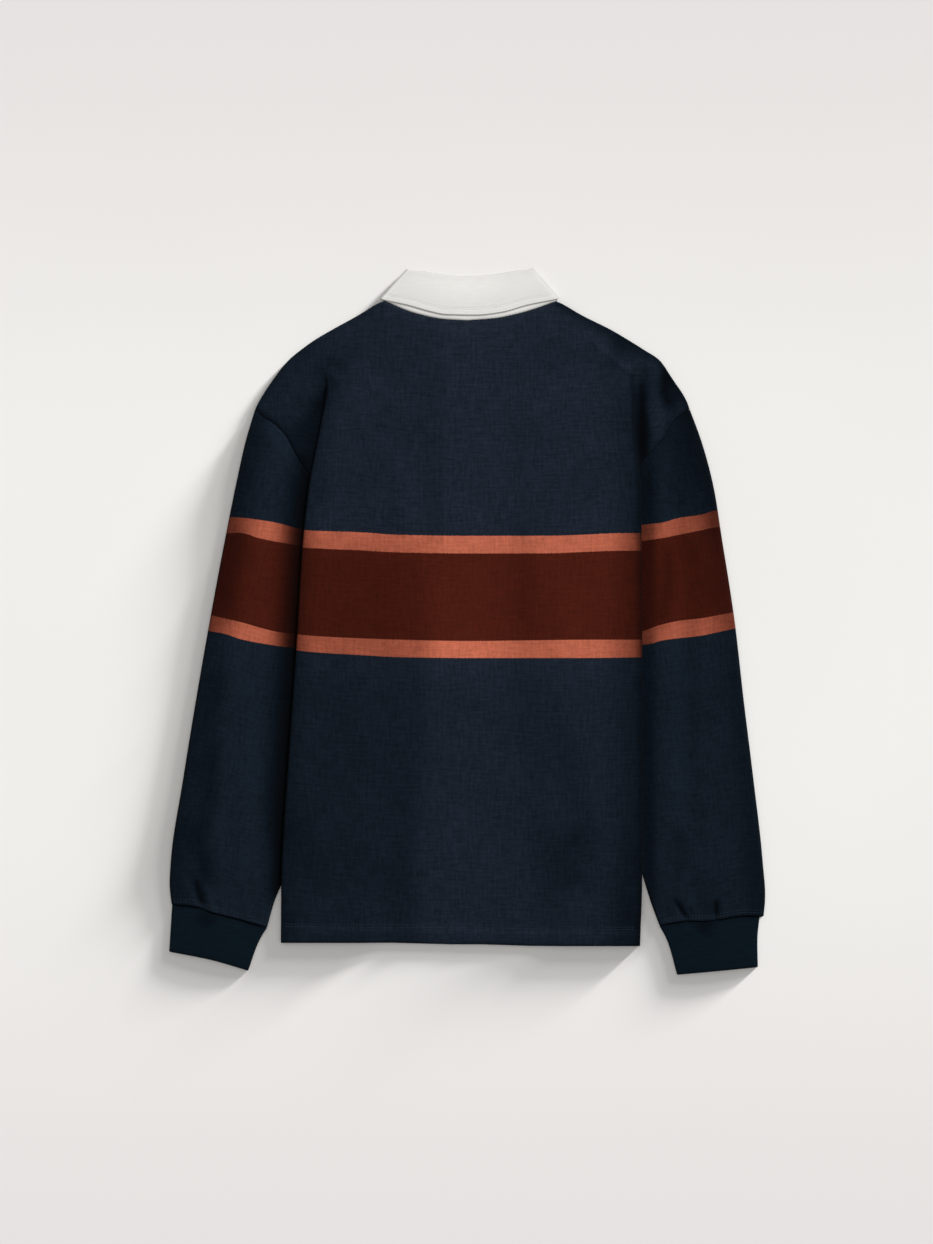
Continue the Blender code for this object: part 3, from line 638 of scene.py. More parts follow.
def shell(name, outer, inner, used, closed, material, weave, hoops=None, tones=None):
    """Closed wall of cloth between two grids of points, with rounded free edges.

    weave gives each column and row its place in the flat cloth, in millimetres. tones gives the painted
    shade at each point, as the share of light kept, stored as the tone attribute.
    """
    outer, inner = np.array(outer, float), np.array(inner, float)
    rows, columns = outer.shape[:2]
    spans = columns if closed else columns - 1
    cells = [(r, c) for r in range(rows - 1) for c in range(spans) if used(r, c)]
    sides = {}
    for r, c in cells:
        ring = [(r, c), (r, c + 1), (r + 1, c + 1), (r + 1, c)]
        for i in range(4):
            start, end = ring[i], ring[(i + 1) % 4]
            key = ((start[0], start[1] % columns), (end[0], end[1] % columns))
            sides[key] = ((ring[(i + 3) % 4]), (ring[(i + 2) % 4]), start, end)
    free = {key: value for key, value in sides.items() if (key[1], key[0]) not in sides}
    middle = (outer + inner) / 2
    pull = {}
    for (start, end), (by_start, by_end, _, _) in free.items():
        for at, inside in ((start, by_start), (end, by_end)):
            direction = middle[inside[0], inside[1] % columns] - middle[at]
            length = np.linalg.norm(direction)
            pull.setdefault(at, []).append(direction / max(length, 1e-6))
    rim = {}
    for at, directions in pull.items():
        inward = sum(directions) / len(directions)
        rim[at] = middle[at].copy()
        outer[at] = outer[at] + inward * RIM
        inner[at] = inner[at] + inward * RIM
    index, points, places = {}, [], []

    def corner(face, r, c):
        at = (r, c % columns)
        if (face, at) not in index:
            index[face, at] = len(points)
            points.append((outer, inner, rim)[face][at])
            places.append(at)
        return index[face, at]

    faces, corners = [], []

    def quad(places):
        faces.append([corner(*place) for place in places])
        corners.extend([(weave[r][c][0], weave[r][c][1]) for _, r, c in places])

    for r, c in cells:
        quad([(0, r, c), (0, r + 1, c), (0, r + 1, c + 1), (0, r, c + 1)])
        quad([(1, r, c), (1, r, c + 1), (1, r + 1, c + 1), (1, r + 1, c)])
    for by_start, by_end, start, end in free.values():
        quad([(0, *start), (0, *end), (2, *end), (2, *start)])
        quad([(2, *start), (2, *end), (1, *end), (1, *start)])
    mesh = smooth_mesh(name, points, faces, material)
    if signed_volume(points, faces) < 0:
        mesh.flip_normals()
        corners = [corners[i + k] for i in range(0, len(corners), 4) for k in (0, 3, 2, 1)]
    layer = mesh.uv_layers.new(name="cloth")
    layer.data.foreach_set("uv", [value * MM for pair in corners for value in pair])
    for word, grid, size in (("hoop", hoops, MM), ("tone", tones, 1.0)):
        if grid is not None:
            attribute = mesh.attributes.new(word, "FLOAT", "POINT")
            attribute.data.foreach_set("value", [float(grid[r][c]) * size for r, c in places])
    return linked(name, mesh)


def signed_volume(points, faces):
    at = np.array(points)
    quads = np.array(faces)
    a, b, c, d = (at[quads[:, i]] for i in range(4))
    return float((a * np.cross(b, c)).sum() + (a * np.cross(c, d)).sum())


def weave_places(grid, closed, hoops=None):
    """Place across and along the flat cloth at each point of a grid, in millimetres.

    Where the hoops are given, the courses run with them.
    """
    points = np.array(grid, float)
    if closed:
        points = np.concatenate([points, points[:, :1]], axis=1)
    across = np.linalg.norm(np.diff(points, axis=1), axis=2)
    walked = np.concatenate([np.zeros((len(points), 1)), np.cumsum(across, axis=1)], axis=1)
    typical = np.median(walked, axis=0)
    if not closed:
        walked = walked - walked[:, walked.shape[1] // 2][:, None]
    else:
        walked = np.broadcast_to(typical, walked.shape)
    if hoops is not None:
        courses = np.array(hoops, float)
        if closed:
            courses = np.concatenate([courses, courses[:, :1]], axis=1)
        return np.stack([walked, courses], axis=2)
    down = np.linalg.norm(np.diff(points, axis=0), axis=2)
    fallen = np.concatenate([np.zeros((1, points.shape[1])), np.cumsum(down, axis=0)], axis=0)
    if closed:
        fallen = np.broadcast_to(np.median(fallen, axis=1)[:, None], fallen.shape)
    return np.stack([walked, -fallen], axis=2)


def back_lift(side, group, across, height, turned):
    """How far the back stands off the front: its loft, folds, hem and seams."""
    x = side * across
    edge = lookup(FOLD_EDGE[side], height)
    inside = group in ("slot", "panel", "ramp", "plateau", "turn")
    if inside:
        shown = mix(1.0, ease(0, 22, edge - across), turned)
    elif group == "arm":
        shown = mix(1.0, ease(-4, 10, across - edge), turned)
    else:
        shown = 1 - turned
    if across > SHOULDER[side][0][0]:
        border = ease(0, 18, lookup(SHOULDER[side], across) - height)
    else:
        border = ease(0, 16, lookup(BACK_NECK[side], min(across, 92)) - height)
    if group == "arm":
        border *= ease(0, 9, math.dist((across, height), nearest(ARMHOLE[side], across, height)))
    hem = height - HEM_Y[side]
    loft = BACK_LOFT * ease(-2, 12, hem) + MIDDLE_LOFT * ease(165, 70, across) * ease(0, 110, hem)
    loft *= ease(340, 280, height) * 0.5 + 0.5
    folds = folds_at(BODY_FOLDS, x, height) * ease(-2, 8, hem) if inside else 0.0
    folds += folds_at(SHOULDER_FOLDS, x, height)
    lift = max(loft + 0.8 * turned * (group == "arm") + folds, 0.0) * shown * border
    return lift + hem_relief(side, height) * shown


def back_painted_shade(side, group, across, height, turned):
    """Painted shade of the back: share of the light it keeps where it leans away, beside its folded
    sides, along its shoulders and in its shaded stretches, with painted light on its hem.
    """
    x = side * across
    edge = lookup(FOLD_EDGE[side], height)
    tone = 1.0
    tone *= kept_under_painted_shade(BODY_PAINTED_SHADES, x, height)
    painted_lean = ease(lookup(PAINTED_LEAN_RIGHT, height), lookup(PAINTED_LEAN_LEFT, height), x)
    tone *= 1 - lookup(PAINTED_LEAN_LOST, height) * painted_lean
    tone *= 1 - 0.09 * ease(8, 50, x) * ease(262, 225, height)
    tone *= mix(LOWER_PAINTED_SHADE, 1.0, ease(-90, -44, height))
    # Painted light: the turned-up hem is a little lighter
    above_hem = height - HEM_Y[side]
    in_hem = ease(5, HEM_DEPTH - 2, above_hem) * ease(HEM_DEPTH + 0.4, HEM_DEPTH - 0.8, above_hem)
    tone *= 1 + 0.2 * in_hem
    if across > SHOULDER[side][0][0]:
        rim = math.exp(-((lookup(SHOULDER[side], across) - height) / 13) ** 2)
        tone *= 1 - (0.58 if side > 0 else 0.2) * rim
    folded = ease(300, 240, height)
    if group == "arm":
        reach, lost = (20, 0.72) if side < 0 else (13, 0.5)
        beside = math.exp(-(max(across - edge, 0) / reach) ** 2.5) * turned
        outside = mix(1.0, 0.8, max(turned, ease(0, 34, across - edge)))
        return tone * outside * (1 - lost * folded * beside)
    width = 26 if side < 0 else mix(54, 44, ease(-60, 20, height))
    deepest = 0.34 if side < 0 else mix(0.58, 0.46, ease(120, 200, height))
    turning = (0.2 if side < 0 else 0.66) * ease(4.0, 1.6, edge - across) * turned
    return tone * (1 - deepest * ease(width, -5, edge - across) * folded) * (1 - turning)


def hem_relief(side, height):
    """The turned-up hem is a little thicker, with a groove at its stitching."""
    above = height - HEM_Y[side]
    thicker = 0.35 * ease(HEM_DEPTH, HEM_DEPTH - 2, above)
    groove = 0.3 * math.exp(-((above - HEM_DEPTH - 0.6) / 1.4) ** 2)
    return thicker - groove


def nearest(points, x, y):
    dense, _ = rounded(points)
    return min(dense, key=lambda point: (point[0] - x) ** 2 + (point[1] - y) ** 2)


def panel(name, neck, facing, counts, rows, slotted, material):
    """The back (facing 1) or the front (facing -1), folded under at both sides."""
    half = half_columns(counts)
    columns = [(-1, *column) for column in reversed(half[1:])] + [(1, *column) for column in half]
    outer, inner, middle, hoops, tones = [], [], [], [], []
    for row in rows:
        faces = ([], [])
        line, hoop_line, tone_line = [], [], []
        for side, group, share in columns:
            across, height, level, normal, gap = bag_point(side, group, share, row, neck)
            # Painted shade: the front keeps 0.9 of the light all over, the back what its own painted
            # shade gives
            lift, tone = 0.0, 0.9
            if facing > 0:
                turned = section(side, row)[3] / math.pi
                lift = back_lift(side, group, across, height, turned)
                tone = back_painted_shade(side, group, across, height, turned)
            tone_line.append(tone)
            for face, depth in zip(faces, (gap + WALL, gap)):
                shift = depth * facing + lift
                face.append((side * (across + shift * normal[0]), height, level + shift * normal[1]))
            line.append((side * across, height, level))
            hoop_line.append(hoop_at(side * across, height, BODY_HOOPS))
        outer.append(faces[0])
        inner.append(faces[1])
        middle.append(line)
        hoops.append(hoop_line)
        tones.append(tone_line)
    first_below = min(i for i, row in enumerate(rows) if row >= 1)

    def used(r, c):
        group = max(columns[c][1], columns[c + 1][1], key=GROUPS.index)
        if group in ("return", "arm") and r >= first_below:
            return False
        return not (slotted and group == "slot" and r < first_below)

    weave = weave_places(middle, False, hoops)
    return shell(name, outer, inner, used, False, material, weave, hoops, tones)


def patch_point(outer_edge, inner_edge, top, end, across, down):
    """Point of a sleeve inside its four edges."""
    left, right = along(outer_edge, down), along(inner_edge, down)
    upper, lower = top(across), end(across)
    point = []
    for axis in (0, 1):
        corners = mix(mix(outer_edge[0][axis], inner_edge[0][axis], across),
                      mix(outer_edge[-1][axis], inner_edge[-1][axis], across), down)
        sides = mix(left[axis], right[axis], across)
        ends = mix(upper[axis], lower[axis], down)
        point.append(sides + ends - corners)
    return point


# Steps round each side edge of a sleeve or cuff, and the share of light its lower side keeps as painted
# shade
EDGE_STEPS = 7
UNDERSIDE_PAINTED_SHADE = 0.84


def tube_ring(place, shares, lift_at, down):
    """One ring of a flattened tube lying on the surface: outer and inner points."""
    outer, inner = [], []
    radius = HALF_BAG
    start, end = place(0.0, down), place(1.0, down)
    outward = unit(start[0] - end[0], start[1] - end[1])

    def spread(share):
        point = place(share, down)
        distance = radius * (2 * share - 1)
        return point[0] + outward[0] * distance, point[1] + outward[1] * distance

    def add(share, reach_out, level_out, level_in, reach_in):
        x, y = spread(share)
        outer.append((x + outward[0] * reach_out, y + outward[1] * reach_out, level_out))
        inner.append((x + outward[0] * reach_in, y + outward[1] * reach_in, level_in))

    for share in shares:
        x, y = spread(share)
        lift = lift_at(share, down, x, y, True)
        add(share, 0.0, 2 * radius + lift, radius + HALF_GAP + lift, 0.0)
    for step in range(1, EDGE_STEPS + 1):
        angle = math.pi * step / (EDGE_STEPS + 1)
        add(1.0, -radius * math.sin(angle), radius + radius * math.cos(angle),
            radius + HALF_GAP * math.cos(angle), -HALF_GAP * math.sin(angle))
    for share in reversed(shares):
        x, y = spread(share)
        dip = lift_at(share, down, x, y, False)
        add(share, 0.0, dip, WALL, 0.0)
    for step in range(1, EDGE_STEPS + 1):
        angle = math.pi * step / (EDGE_STEPS + 1)
        add(0.0, radius * math.sin(angle), radius - radius * math.cos(angle),
            radius - HALF_GAP * math.cos(angle), HALF_GAP * math.sin(angle))
    return outer, inner


def tube(name, side, edges, shares, downs, lift_at, material, tone_at, hoop_lines=None):
    """A sleeve or cuff as one flattened tube.

    edges holds its outer and inner lines and those at its top and end. lift_at gives how far
    its upper or lower side rises at a place.
    """
    outer_edge, inner_edge, top, end = edges

    def place(share, down):
        return patch_point(outer_edge, inner_edge, top, end, share, down)

    rings = [tube_ring(place, shares, lift_at, down) for down in downs]
    outer = [[(side * x, y, z) for x, y, z in ring[0]] for ring in rings]
    inner = [[(side * x, y, z) for x, y, z in ring[1]] for ring in rings]
    hoops = None
    if hoop_lines:
        hoops = [[hoop_at(x, y, hoop_lines) for x, y, _ in ring] for ring in outer]
    # Painted shade from tone_at on the upper side, and an even painted shade on the lower side
    upper = len(shares) + EDGE_STEPS // 2
    last_under = 2 * len(shares) + EDGE_STEPS
    tones = [[tone_at(x, y, down) if not upper <= i <= last_under else UNDERSIDE_PAINTED_SHADE
              for i, (x, y, _) in enumerate(ring)] for ring, down in zip(outer, downs)]
    weave = weave_places(outer, True, hoops)
    return shell(name, outer, inner, lambda r, c: True, True, material, weave, hoops, tones)


def spaced(count, power=1.0):
    """Shares from 0 to 1 that lie closer together near both ends."""
    shares = []
    for step in range(count + 1):
        t = step / count
        shares.append(mix(t, (1 - math.cos(math.pi * t)) / 2, power))
    return shares


def rounding(distance, radius):
    """Rise of a puffed side from 0 at its edge to 1 at this radius, as a quarter of an ellipse."""
    return math.sqrt(max(1 - (1 - min(max(distance, 0) / radius, 1)) ** 2, 0))


def gathers_at(side, x, y):
    """Height of the gathers above a cuff at a place, and the share of light lost to the shade painted in
    them.
    """
    above = y - lookup(CUFF_SEAM[side][::-1], x)
    total, kept = 0.0, 1.0
    for place, length, half_width, height, lean, lost in CUFF_GATHERS[side]:
        if above < length:
            strength = math.exp(-((x - place - above * lean) / half_width) ** 2)
            strength *= ease(length, length * 0.6, above) * mix(0.4, 1.0, ease(1, 8, above))
            total += height * strength
            kept *= 1 - lost * strength
    return total, 1 - kept


def sleeve_lift(side, down, x, y):
    """Loft and folds of a sleeve's upper side, where the body doesn't cover it."""
    outside = along(SLEEVE_OUTER[side], down)[0]
    inside = along(SLEEVE_INNER[side], down)[0]
    covered = ease(0, 15, x - lookup(FOLD_EDGE[side], min(y, FOLD_TOP)) - 2)
    sides = rounding(outside - x, 22) * rounding(x - inside, 20)
    full = mix(0.0, SLEEVE_LOFT, ease(0, 0.035, down))
    full = mix(full, 2.2, ease(0.86, 1.0, down))
    folds = folds_at(SLEEVE_FOLDS[side], side * x, y) * ease(0, 0.04, down) * ease(1, 0.97, down)
    folds += gathers_at(side, x, y)[0]
    return max(full + folds, 0.0) * sides * covered


def sleeve_painted_shade(side, x, y, outside):
    """Painted shade of a sleeve: the share of light it keeps at its outer edge, beside the body, in its
    gathers and in its shaded stretches.
    """
    gap = max(x - lookup(FOLD_EDGE[side], min(y, FOLD_TOP)), 0.0)
    tone = 0.84 if side < 0 else mix(0.78, 0.58, ease(70, 180, y))
    tone *= mix(0.9, 1.0, ease(-90, -30, y))
    reach, lost, power = (mix(16, 24, ease(-285, -200, y)), 0.93, 2.8) if side < 0 else (16, 0.55, 2)
    tone *= 1 - lost * math.exp(-(gap / reach) ** power) * ease(-335, -300, y)
    rim = mix(0.44, 0.56, ease(-60, 20, y)) if side < 0 else mix(0.52, 0.68, ease(60, 120, y))
    tone *= 1 - rim * ease(38, 2, outside - x)
    tone *= 1 - gathers_at(side, x, y)[1]
    return tone * kept_under_painted_shade(SLEEVE_PAINTED_SHADES[side], side * x, y)


def sleeve(side, material):
    name = "sleeve_left_cloth" if side < 0 else "sleeve_right_cloth"

    def top(share):
        x, y = along(ARMHOLE[side], share)
        return x + EDGE_GAP * 0.7, y - EDGE_GAP

    outer_edge = (top(0.0),) + SLEEVE_OUTER[side][1:]
    inner_edge = (top(1.0),) + SLEEVE_INNER[side][1:]
    edges = (outer_edge, inner_edge, top, lambda share: along(CUFF_SEAM[side], share))

    def lift(share, down, x, y, upper):
        return sleeve_lift(side, down, x, y) if upper else 0.0

    def tone(x, y, down):
        return sleeve_painted_shade(side, side * x, y, along(SLEEVE_OUTER[side], down)[0])

    downs = [mix(0, 0.9, step / 110) for step in range(110)]
    downs += [mix(0.9, 1, step / 32) for step in range(33)]
    return tube(name, side, edges, spaced(46, 0.35), downs, lift, material, tone, SLEEVE_HOOPS[side])


RIB_COUNT = 40


def cuff(side, material):
    name = "cuff_left_rib" if side < 0 else "cuff_right_rib"
    edges = (CUFF_OUTER[side], CUFF_INNER[side], lambda share: along(CUFF_TOP[side], share),
             lambda share: along(CUFF_END[side], share))

    def lift(share, down, x, y, upper):
        rib = 0.22 * (1 - math.cos(2 * math.pi * share * RIB_COUNT)) / 2
        if not upper:
            return rib
        crown = math.sin(math.pi * share) ** 0.6 * mix(1.0, 0.75, ease(0.8, 1, down))
        return CUFF_LOFT * crown * mix(0.2, 1.0, ease(0, 0.2, down)) + rib * ease(0, 0.06, down)

    # Painted shade: darker at the cuff's top, under the sleeve's edge, and in its shaded places
    def tone(x, y, down):
        return mix(0.72, 1.0, ease(0, 0.18, down)) * kept_under_painted_shade(CUFF_PAINTED_SHADES[side], x, y)

    shares = [step / (RIB_COUNT * 4) for step in range(RIB_COUNT * 4 + 1)]
    downs = [step / 16 for step in range(17)]
    return tube(name, side, edges, shares, downs, lift, material, tone)


# Share of the collar's columns that is as wide as the placket's slot
SLOT_SHARE = 0.25


def neck_reach(side, share):
    """Distance from the middle of the collar's seam, beside the body's own columns."""
    corner = SHOULDER[side][0][0]
    if share <= SLOT_SHARE:
        return max(mix(0, SLOT_HALF, share / SLOT_SHARE) - SEAM_GAP, 0)
    return mix(SLOT_HALF, corner, (share - SLOT_SHARE) / (1 - SLOT_SHARE)) - SEAM_GAP


def collar_base(side, kind, share):
    """Roll line, leaf edge and seam in the flat, with the turn round the side."""
    if kind == "front":
        reach = max(neck_reach(side, 1 - share), COLLAR_MEETS)
        seam = (reach, lookup(FRONT_NECK[side], reach))
        return along(ROLL_FRONT[side], share), along(LEAF_FRONT[side], share), seam, math.pi
    portion = share if kind == "back" else 1.0
    reach = neck_reach(side, portion)
    seam = (reach, lookup(BACK_NECK[side], reach))
    roll_reach = ROLL_BACK[side][-1][0] * portion
    leaf_reach = LEAF_BACK[side][-1][0] * portion
    roll = (roll_reach, lookup(ROLL_BACK[side], roll_reach))
    leaf = (leaf_reach, lookup(LEAF_BACK[side], leaf_reach))
    return roll, leaf, seam, math.pi * share if kind == "side" else 0.0


LEAF_STEPS = 26
STAND_STEPS = 16
ROLL_STEPS = 10
COLLAR_STITCH = 6.5


def leaf_relief(part, width, turn):
    """A soft belly in the leaf and the groove of its stitching, on its outer face."""
    distance = part * width
    groove = 0.28 * math.exp(-((distance - COLLAR_STITCH) / 0.9) ** 2)
    belly = 0.9 * math.sin(math.pi * min(part, 1)) ** 1.2 * (1 if turn < 0.1 else 0)
    return belly, groove


def collar_column(side, kind, share):
    """Outer and inner faces of the collar from leaf edge, over the roll, to the seam."""
    roll, leaf, seam, turn = collar_base(side, kind, share)
    end_roll, end_leaf = ROLL_BACK[side][-1], LEAF_BACK[side][-1]
    up = unit(roll[0] - leaf[0], roll[1] - leaf[1])
    along_edge = unit(end_roll[0] - end_leaf[0], end_roll[1] - end_leaf[1])
    outward = (along_edge[1], -along_edge[0])
    half = WALL / 2
    middle = (STAND_RADIUS + LEAF_RADIUS) / 2
    bend = (LEAF_RADIUS - STAND_RADIUS) / 2
    width = math.dist(leaf, roll)
    faces = []
    for grow in (half, -half):
        path = []
        for step in range(LEAF_STEPS):
            part = (step / LEAF_STEPS) ** 1.25
            belly, groove = leaf_relief(part, width, turn)
            crown = belly * (math.cos(math.pi / 2 * share) ** 0.5 if kind == "back" else 0)
            sunk = groove if grow > 0 else 0.0
            path.append((mix_points(leaf, roll, part), LEAF_RADIUS + grow - sunk + crown, 0.0))
        for step in range(ROLL_STEPS + 1):
            angle = math.pi * step / ROLL_STEPS
            reach = bend + grow
            path.append((roll, middle + reach * math.cos(angle), reach * math.sin(angle)))
        path += [(mix_points(roll, seam, step / STAND_STEPS), STAND_RADIUS - grow, 0.0)
                 for step in range(1, STAND_STEPS + 1)]
        face = []
        for base, radius, lift in path:
            x = base[0] + outward[0] * radius * math.sin(turn) + up[0] * lift
            y = base[1] + outward[1] * radius * math.sin(turn) + up[1] * lift
            face.append((side * x, y, COLLAR_MIDDLE + radius * math.cos(turn)))
        faces.append(face)
    return faces


def collar_painted_shade(kind, share, step):
    """Painted shade of the collar: the share of light it keeps, less at its roll and down its two sides.
    """
    rolled = math.sin(math.pi * min(max(step - LEAF_STEPS, 0) / ROLL_STEPS, 1)) ** 0.5
    near_roll = ease(LEAF_STEPS * 0.8, LEAF_STEPS, step)
    tone = 0.985 * (1 - 0.36 * rolled) * (1 - 0.03 * near_roll)
    if kind == "side":
        return tone * (1 - 0.42 * math.sin(math.pi * share) ** 0.5)
    return tone * (1 - 0.06 * share ** 1.6) if kind == "back" else tone


def collar(material):
    stops = [("front", 1 - share) for share in [0.0] + steps(26)[:-1]]
    stops += [("side", 1 - step / 12) for step in range(13)]
    stops += [("back", 1 - share) for share in steps(34)]
    columns = [(-1, *stop) for stop in stops] + [(1, *stop) for stop in reversed(stops[:-1])]
    made = [collar_column(*column) for column in columns]
    outer = [faces[0] for faces in made]
    inner = [faces[1] for faces in made]
    weave = weave_places(outer, False)
    tones = [[collar_painted_shade(kind, share, step) for step in range(len(outer[0]))]
             for _, kind, share in columns]
    return shell("collar_twill", outer, inner, lambda r, c: True, False, material, weave, None, tones)


def strip(name, bottom, half_width, material):
    """One strip of the placket, with pressed edges, flat between the front and the back."""
    low, high = UNDERARM_Y + EDGE_GAP, FRONT_NECK[1][0][1] - 2 * EDGE_GAP
    heights = [mix(high, low, step / 60) for step in range(61)]
    places = [mix(-half_width, half_width, share) for share in spaced(16, 0.6)]

    def relief(x, y):
        side_stitch = 0.15 * math.exp(-((half_width - abs(x) - 2.5) / 0.8) ** 2)
        end_stitch = 0.15 * math.exp(-((y - low - 2.5) / 0.8) ** 2)
        return max(side_stitch, end_stitch)

    outer = [[(x, y, bottom + relief(x, y)) for x in places] for y in heights]
    inner = [[(x, y, bottom + WALL) for x in places] for y in heights]
    weave = weave_places(outer, False)
    tones = [[0.97] * len(places)] * len(heights)
    return shell(name, outer, inner, lambda r, c: True, False, material, weave, None, tones)


HOLE_OFFSET = 1.3
HOLE_RADIUS = 0.75
BUTTON_SIDES = 48
FACE_LEVEL = 0.55
MIDDLE_RADIUS = 3.1
# Radius and level of the button from round its middle, over the rim, to its back
BUTTON_PROFILE = ((MIDDLE_RADIUS, FACE_LEVEL), (3.5, 0.46), (3.9, 0.3), (4.3, 0.08), (4.8, 0.0),
                  (5.4, 0.02), (5.8, 0.2), (BUTTON_RADIUS, 0.55), (5.95, 1.0), (5.7, 1.35),
                  (5.2, BUTTON_THICKNESS), (MIDDLE_RADIUS, BUTTON_THICKNESS))


def quarter_outline(quarter, level):
    """Places round one quarter of a button's middle, from its centre out and back."""
    per_quarter = BUTTON_SIDES // 4
    angles = [math.pi / 2 * (quarter + step / per_quarter) for step in range(per_quarter + 1)]
    spokes = [MIDDLE_RADIUS * share for share in (0.0, 0.35, 0.7)]
    places = [(radius * math.cos(angles[0]), radius * math.sin(angles[0])) for radius in spokes]
    places += [(MIDDLE_RADIUS * math.cos(angle), MIDDLE_RADIUS * math.sin(angle)) for angle in angles]
    places += [(radius * math.cos(angles[-1]), radius * math.sin(angles[-1]))
               for radius in reversed(spokes[1:])]
    return [(x, y, level) for x, y in places]


def button(name, height, material):
    """A dished round button with a rounded rim and four holes."""
    points, faces, numbers = [], [], {}

    def number(point):
        key = tuple(round(value, 4) for value in point)
        if key not in numbers:
            numbers[key] = len(points)
            points.append((point[0], height + point[1], point[2]))
        return numbers[key]

    def band(ring, following):
        for i in range(len(ring)):
            j = (i + 1) % len(ring)
            faces.append([number(place) for place in (ring[i], ring[j], following[j], following[i])])

    rings = [[(radius * math.cos(2 * math.pi * step / BUTTON_SIDES),
               radius * math.sin(2 * math.pi * step / BUTTON_SIDES), level)
              for step in range(BUTTON_SIDES)] for radius, level in BUTTON_PROFILE]
    for ring, following in zip(rings, rings[1:]):
        band(ring, following)
    for quarter in range(4):
        angle = math.pi / 2 * (quarter + 0.5)
        away = HOLE_OFFSET * math.sqrt(2)
        centre = (away * math.cos(angle), away * math.sin(angle))
        holes = []
        for level in (FACE_LEVEL, BUTTON_THICKNESS):
            outline = quarter_outline(quarter, level)
            hole = []
            for x, y, _ in outline:
                dx, dy = unit(x - centre[0], y - centre[1])
                hole.append((centre[0] + dx * HOLE_RADIUS, centre[1] + dy * HOLE_RADIUS, level))
            if level == FACE_LEVEL:
                band(hole, outline)
            else:
                band(outline, hole)
            holes.append(hole)
        band(holes[1], holes[0])
    mesh = smooth_mesh(name, points, faces, material)
    mesh.set_sharp_from_angle(angle=math.radians(40))
    return linked(name, mesh)


def button_threads(height):
    """Two bars of doubled thread that hold a button through its holes."""
    # Place along the bar and level of the thread
    bar = ((-HOLE_OFFSET - 0.1, 1.3), (-HOLE_OFFSET, 0.62), (-HOLE_OFFSET + 0.3, 0.38), (0.0, 0.3),
           (HOLE_OFFSET - 0.3, 0.38), (HOLE_OFFSET, 0.62), (HOLE_OFFSET + 0.1, 1.3))
    return [[(x, height + side * HOLE_OFFSET + off, level) for x, level in bar]
            for side in (-1, 1) for off in (-0.19, 0.19)]


def thread_mesh(name, paths, radius, material, sides=6):
    """One mesh of round threads, each along its own list of points in millimetres."""
    points, faces = [], []
    for path in paths:
        last = len(path) - 1
        base = len(points)
        for i, point in enumerate(path):
            before, after = path[max(i - 1, 0)], path[min(i + 1, last)]
            dx, dy = unit(after[0] - before[0], after[1] - before[1])
            thick = radius * (0.45 if i in (0, last) else 1.0)
            for step in range(sides):
                angle = 2 * math.pi * step / sides
                off = thick * math.cos(angle)
                rise = thick * math.sin(angle)
                points.append((point[0] - dy * off, point[1] + dx * off, point[2] + rise))
        for i in range(last):
            for step in range(sides):
                here, other = base + i * sides, (step + 1) % sides
                faces.append((here + step, here + other, here + sides + other, here + sides + step))
        faces.append(tuple(base + step for step in reversed(range(sides))))
        faces.append(tuple(base + last * sides + step for step in range(sides)))
    made = linked(name, smooth_mesh(name, points, faces, material))
    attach(made, "root")
    return made


def surface_finder(made, from_below=False):
    """Gives the height of a piece's upper (or lower) face at a place, or None beside it."""
    tree = BVHTree.FromPolygons([vertex.co for vertex in made.data.vertices],
                                [polygon.vertices for polygon in made.data.polygons])
    start, heading = (-1.0, (0, 0, 1)) if from_below else (1.0, (0, 0, -1))

    def find(x, y):
        hit = tree.ray_cast((x * MM, y * MM, start), heading)[0]
        return None if hit is None else hit[2] / MM

    return find


STITCH_LENGTH = 2.7
STITCH_GAP = 0.8
STITCH_RADIUS = 0.26
FINE_THREAD = 0.22
FINEST_THREAD = 0.2
# Outline of the stitches that hold the label inside, and rows of stitches above each cuff
LABEL_OUTLINE = ((-22.6, 326), (31.6, 326), (31.6, 298), (-22.6, 298), (-22.6, 326))
CUFF_STITCHES_ABOVE = (3.4, 6.2)
ARMHOLE_SEAM_LEVEL = 1.6
CUFF_SEAM_LEVEL = 1.3


def stitches(find, line, sunk=0.08, length=STITCH_LENGTH, gap=STITCH_GAP):
    """Short threads laid end to end along a line of places, on the surface that find gives."""
    walked = [0.0]
    for a, b in zip(line, line[1:]):
        walked.append(walked[-1] + math.dist(a, b))
    xs, ys = [place[0] for place in line], [place[1] for place in line]
    paths = []
    for number in range(int(walked[-1] / (length + gap))):
        path = []
        for part, rise in ((0.0, -0.22), (0.2, 0.0), (0.5, 0.05), (0.8, 0.0), (1.0, -0.22)):
            at = number * (length + gap) + part * length
            x, y = float(np.interp(at, walked, xs)), float(np.interp(at, walked, ys))
            z = find(x, y)
            if z is None:
                path = []
                break
            path.append((x, y, z + STITCH_RADIUS * 0.4 - sunk + rise))
        if path and max(abs(a[2] - b[2]) for a, b in zip(path, path[1:])) < 0.9:
            paths.append(path)
    return paths


def linear(colour):
    return tuple(part / 12.92 if part <= 0.04045 else ((part + 0.055) / 1.055) ** 2.4 for part in colour)


def shade(red, green, blue):
    """A colour of 0 to 255 as linear light."""
    return (*linear((red / 255, green / 255, blue / 255)), 1.0)


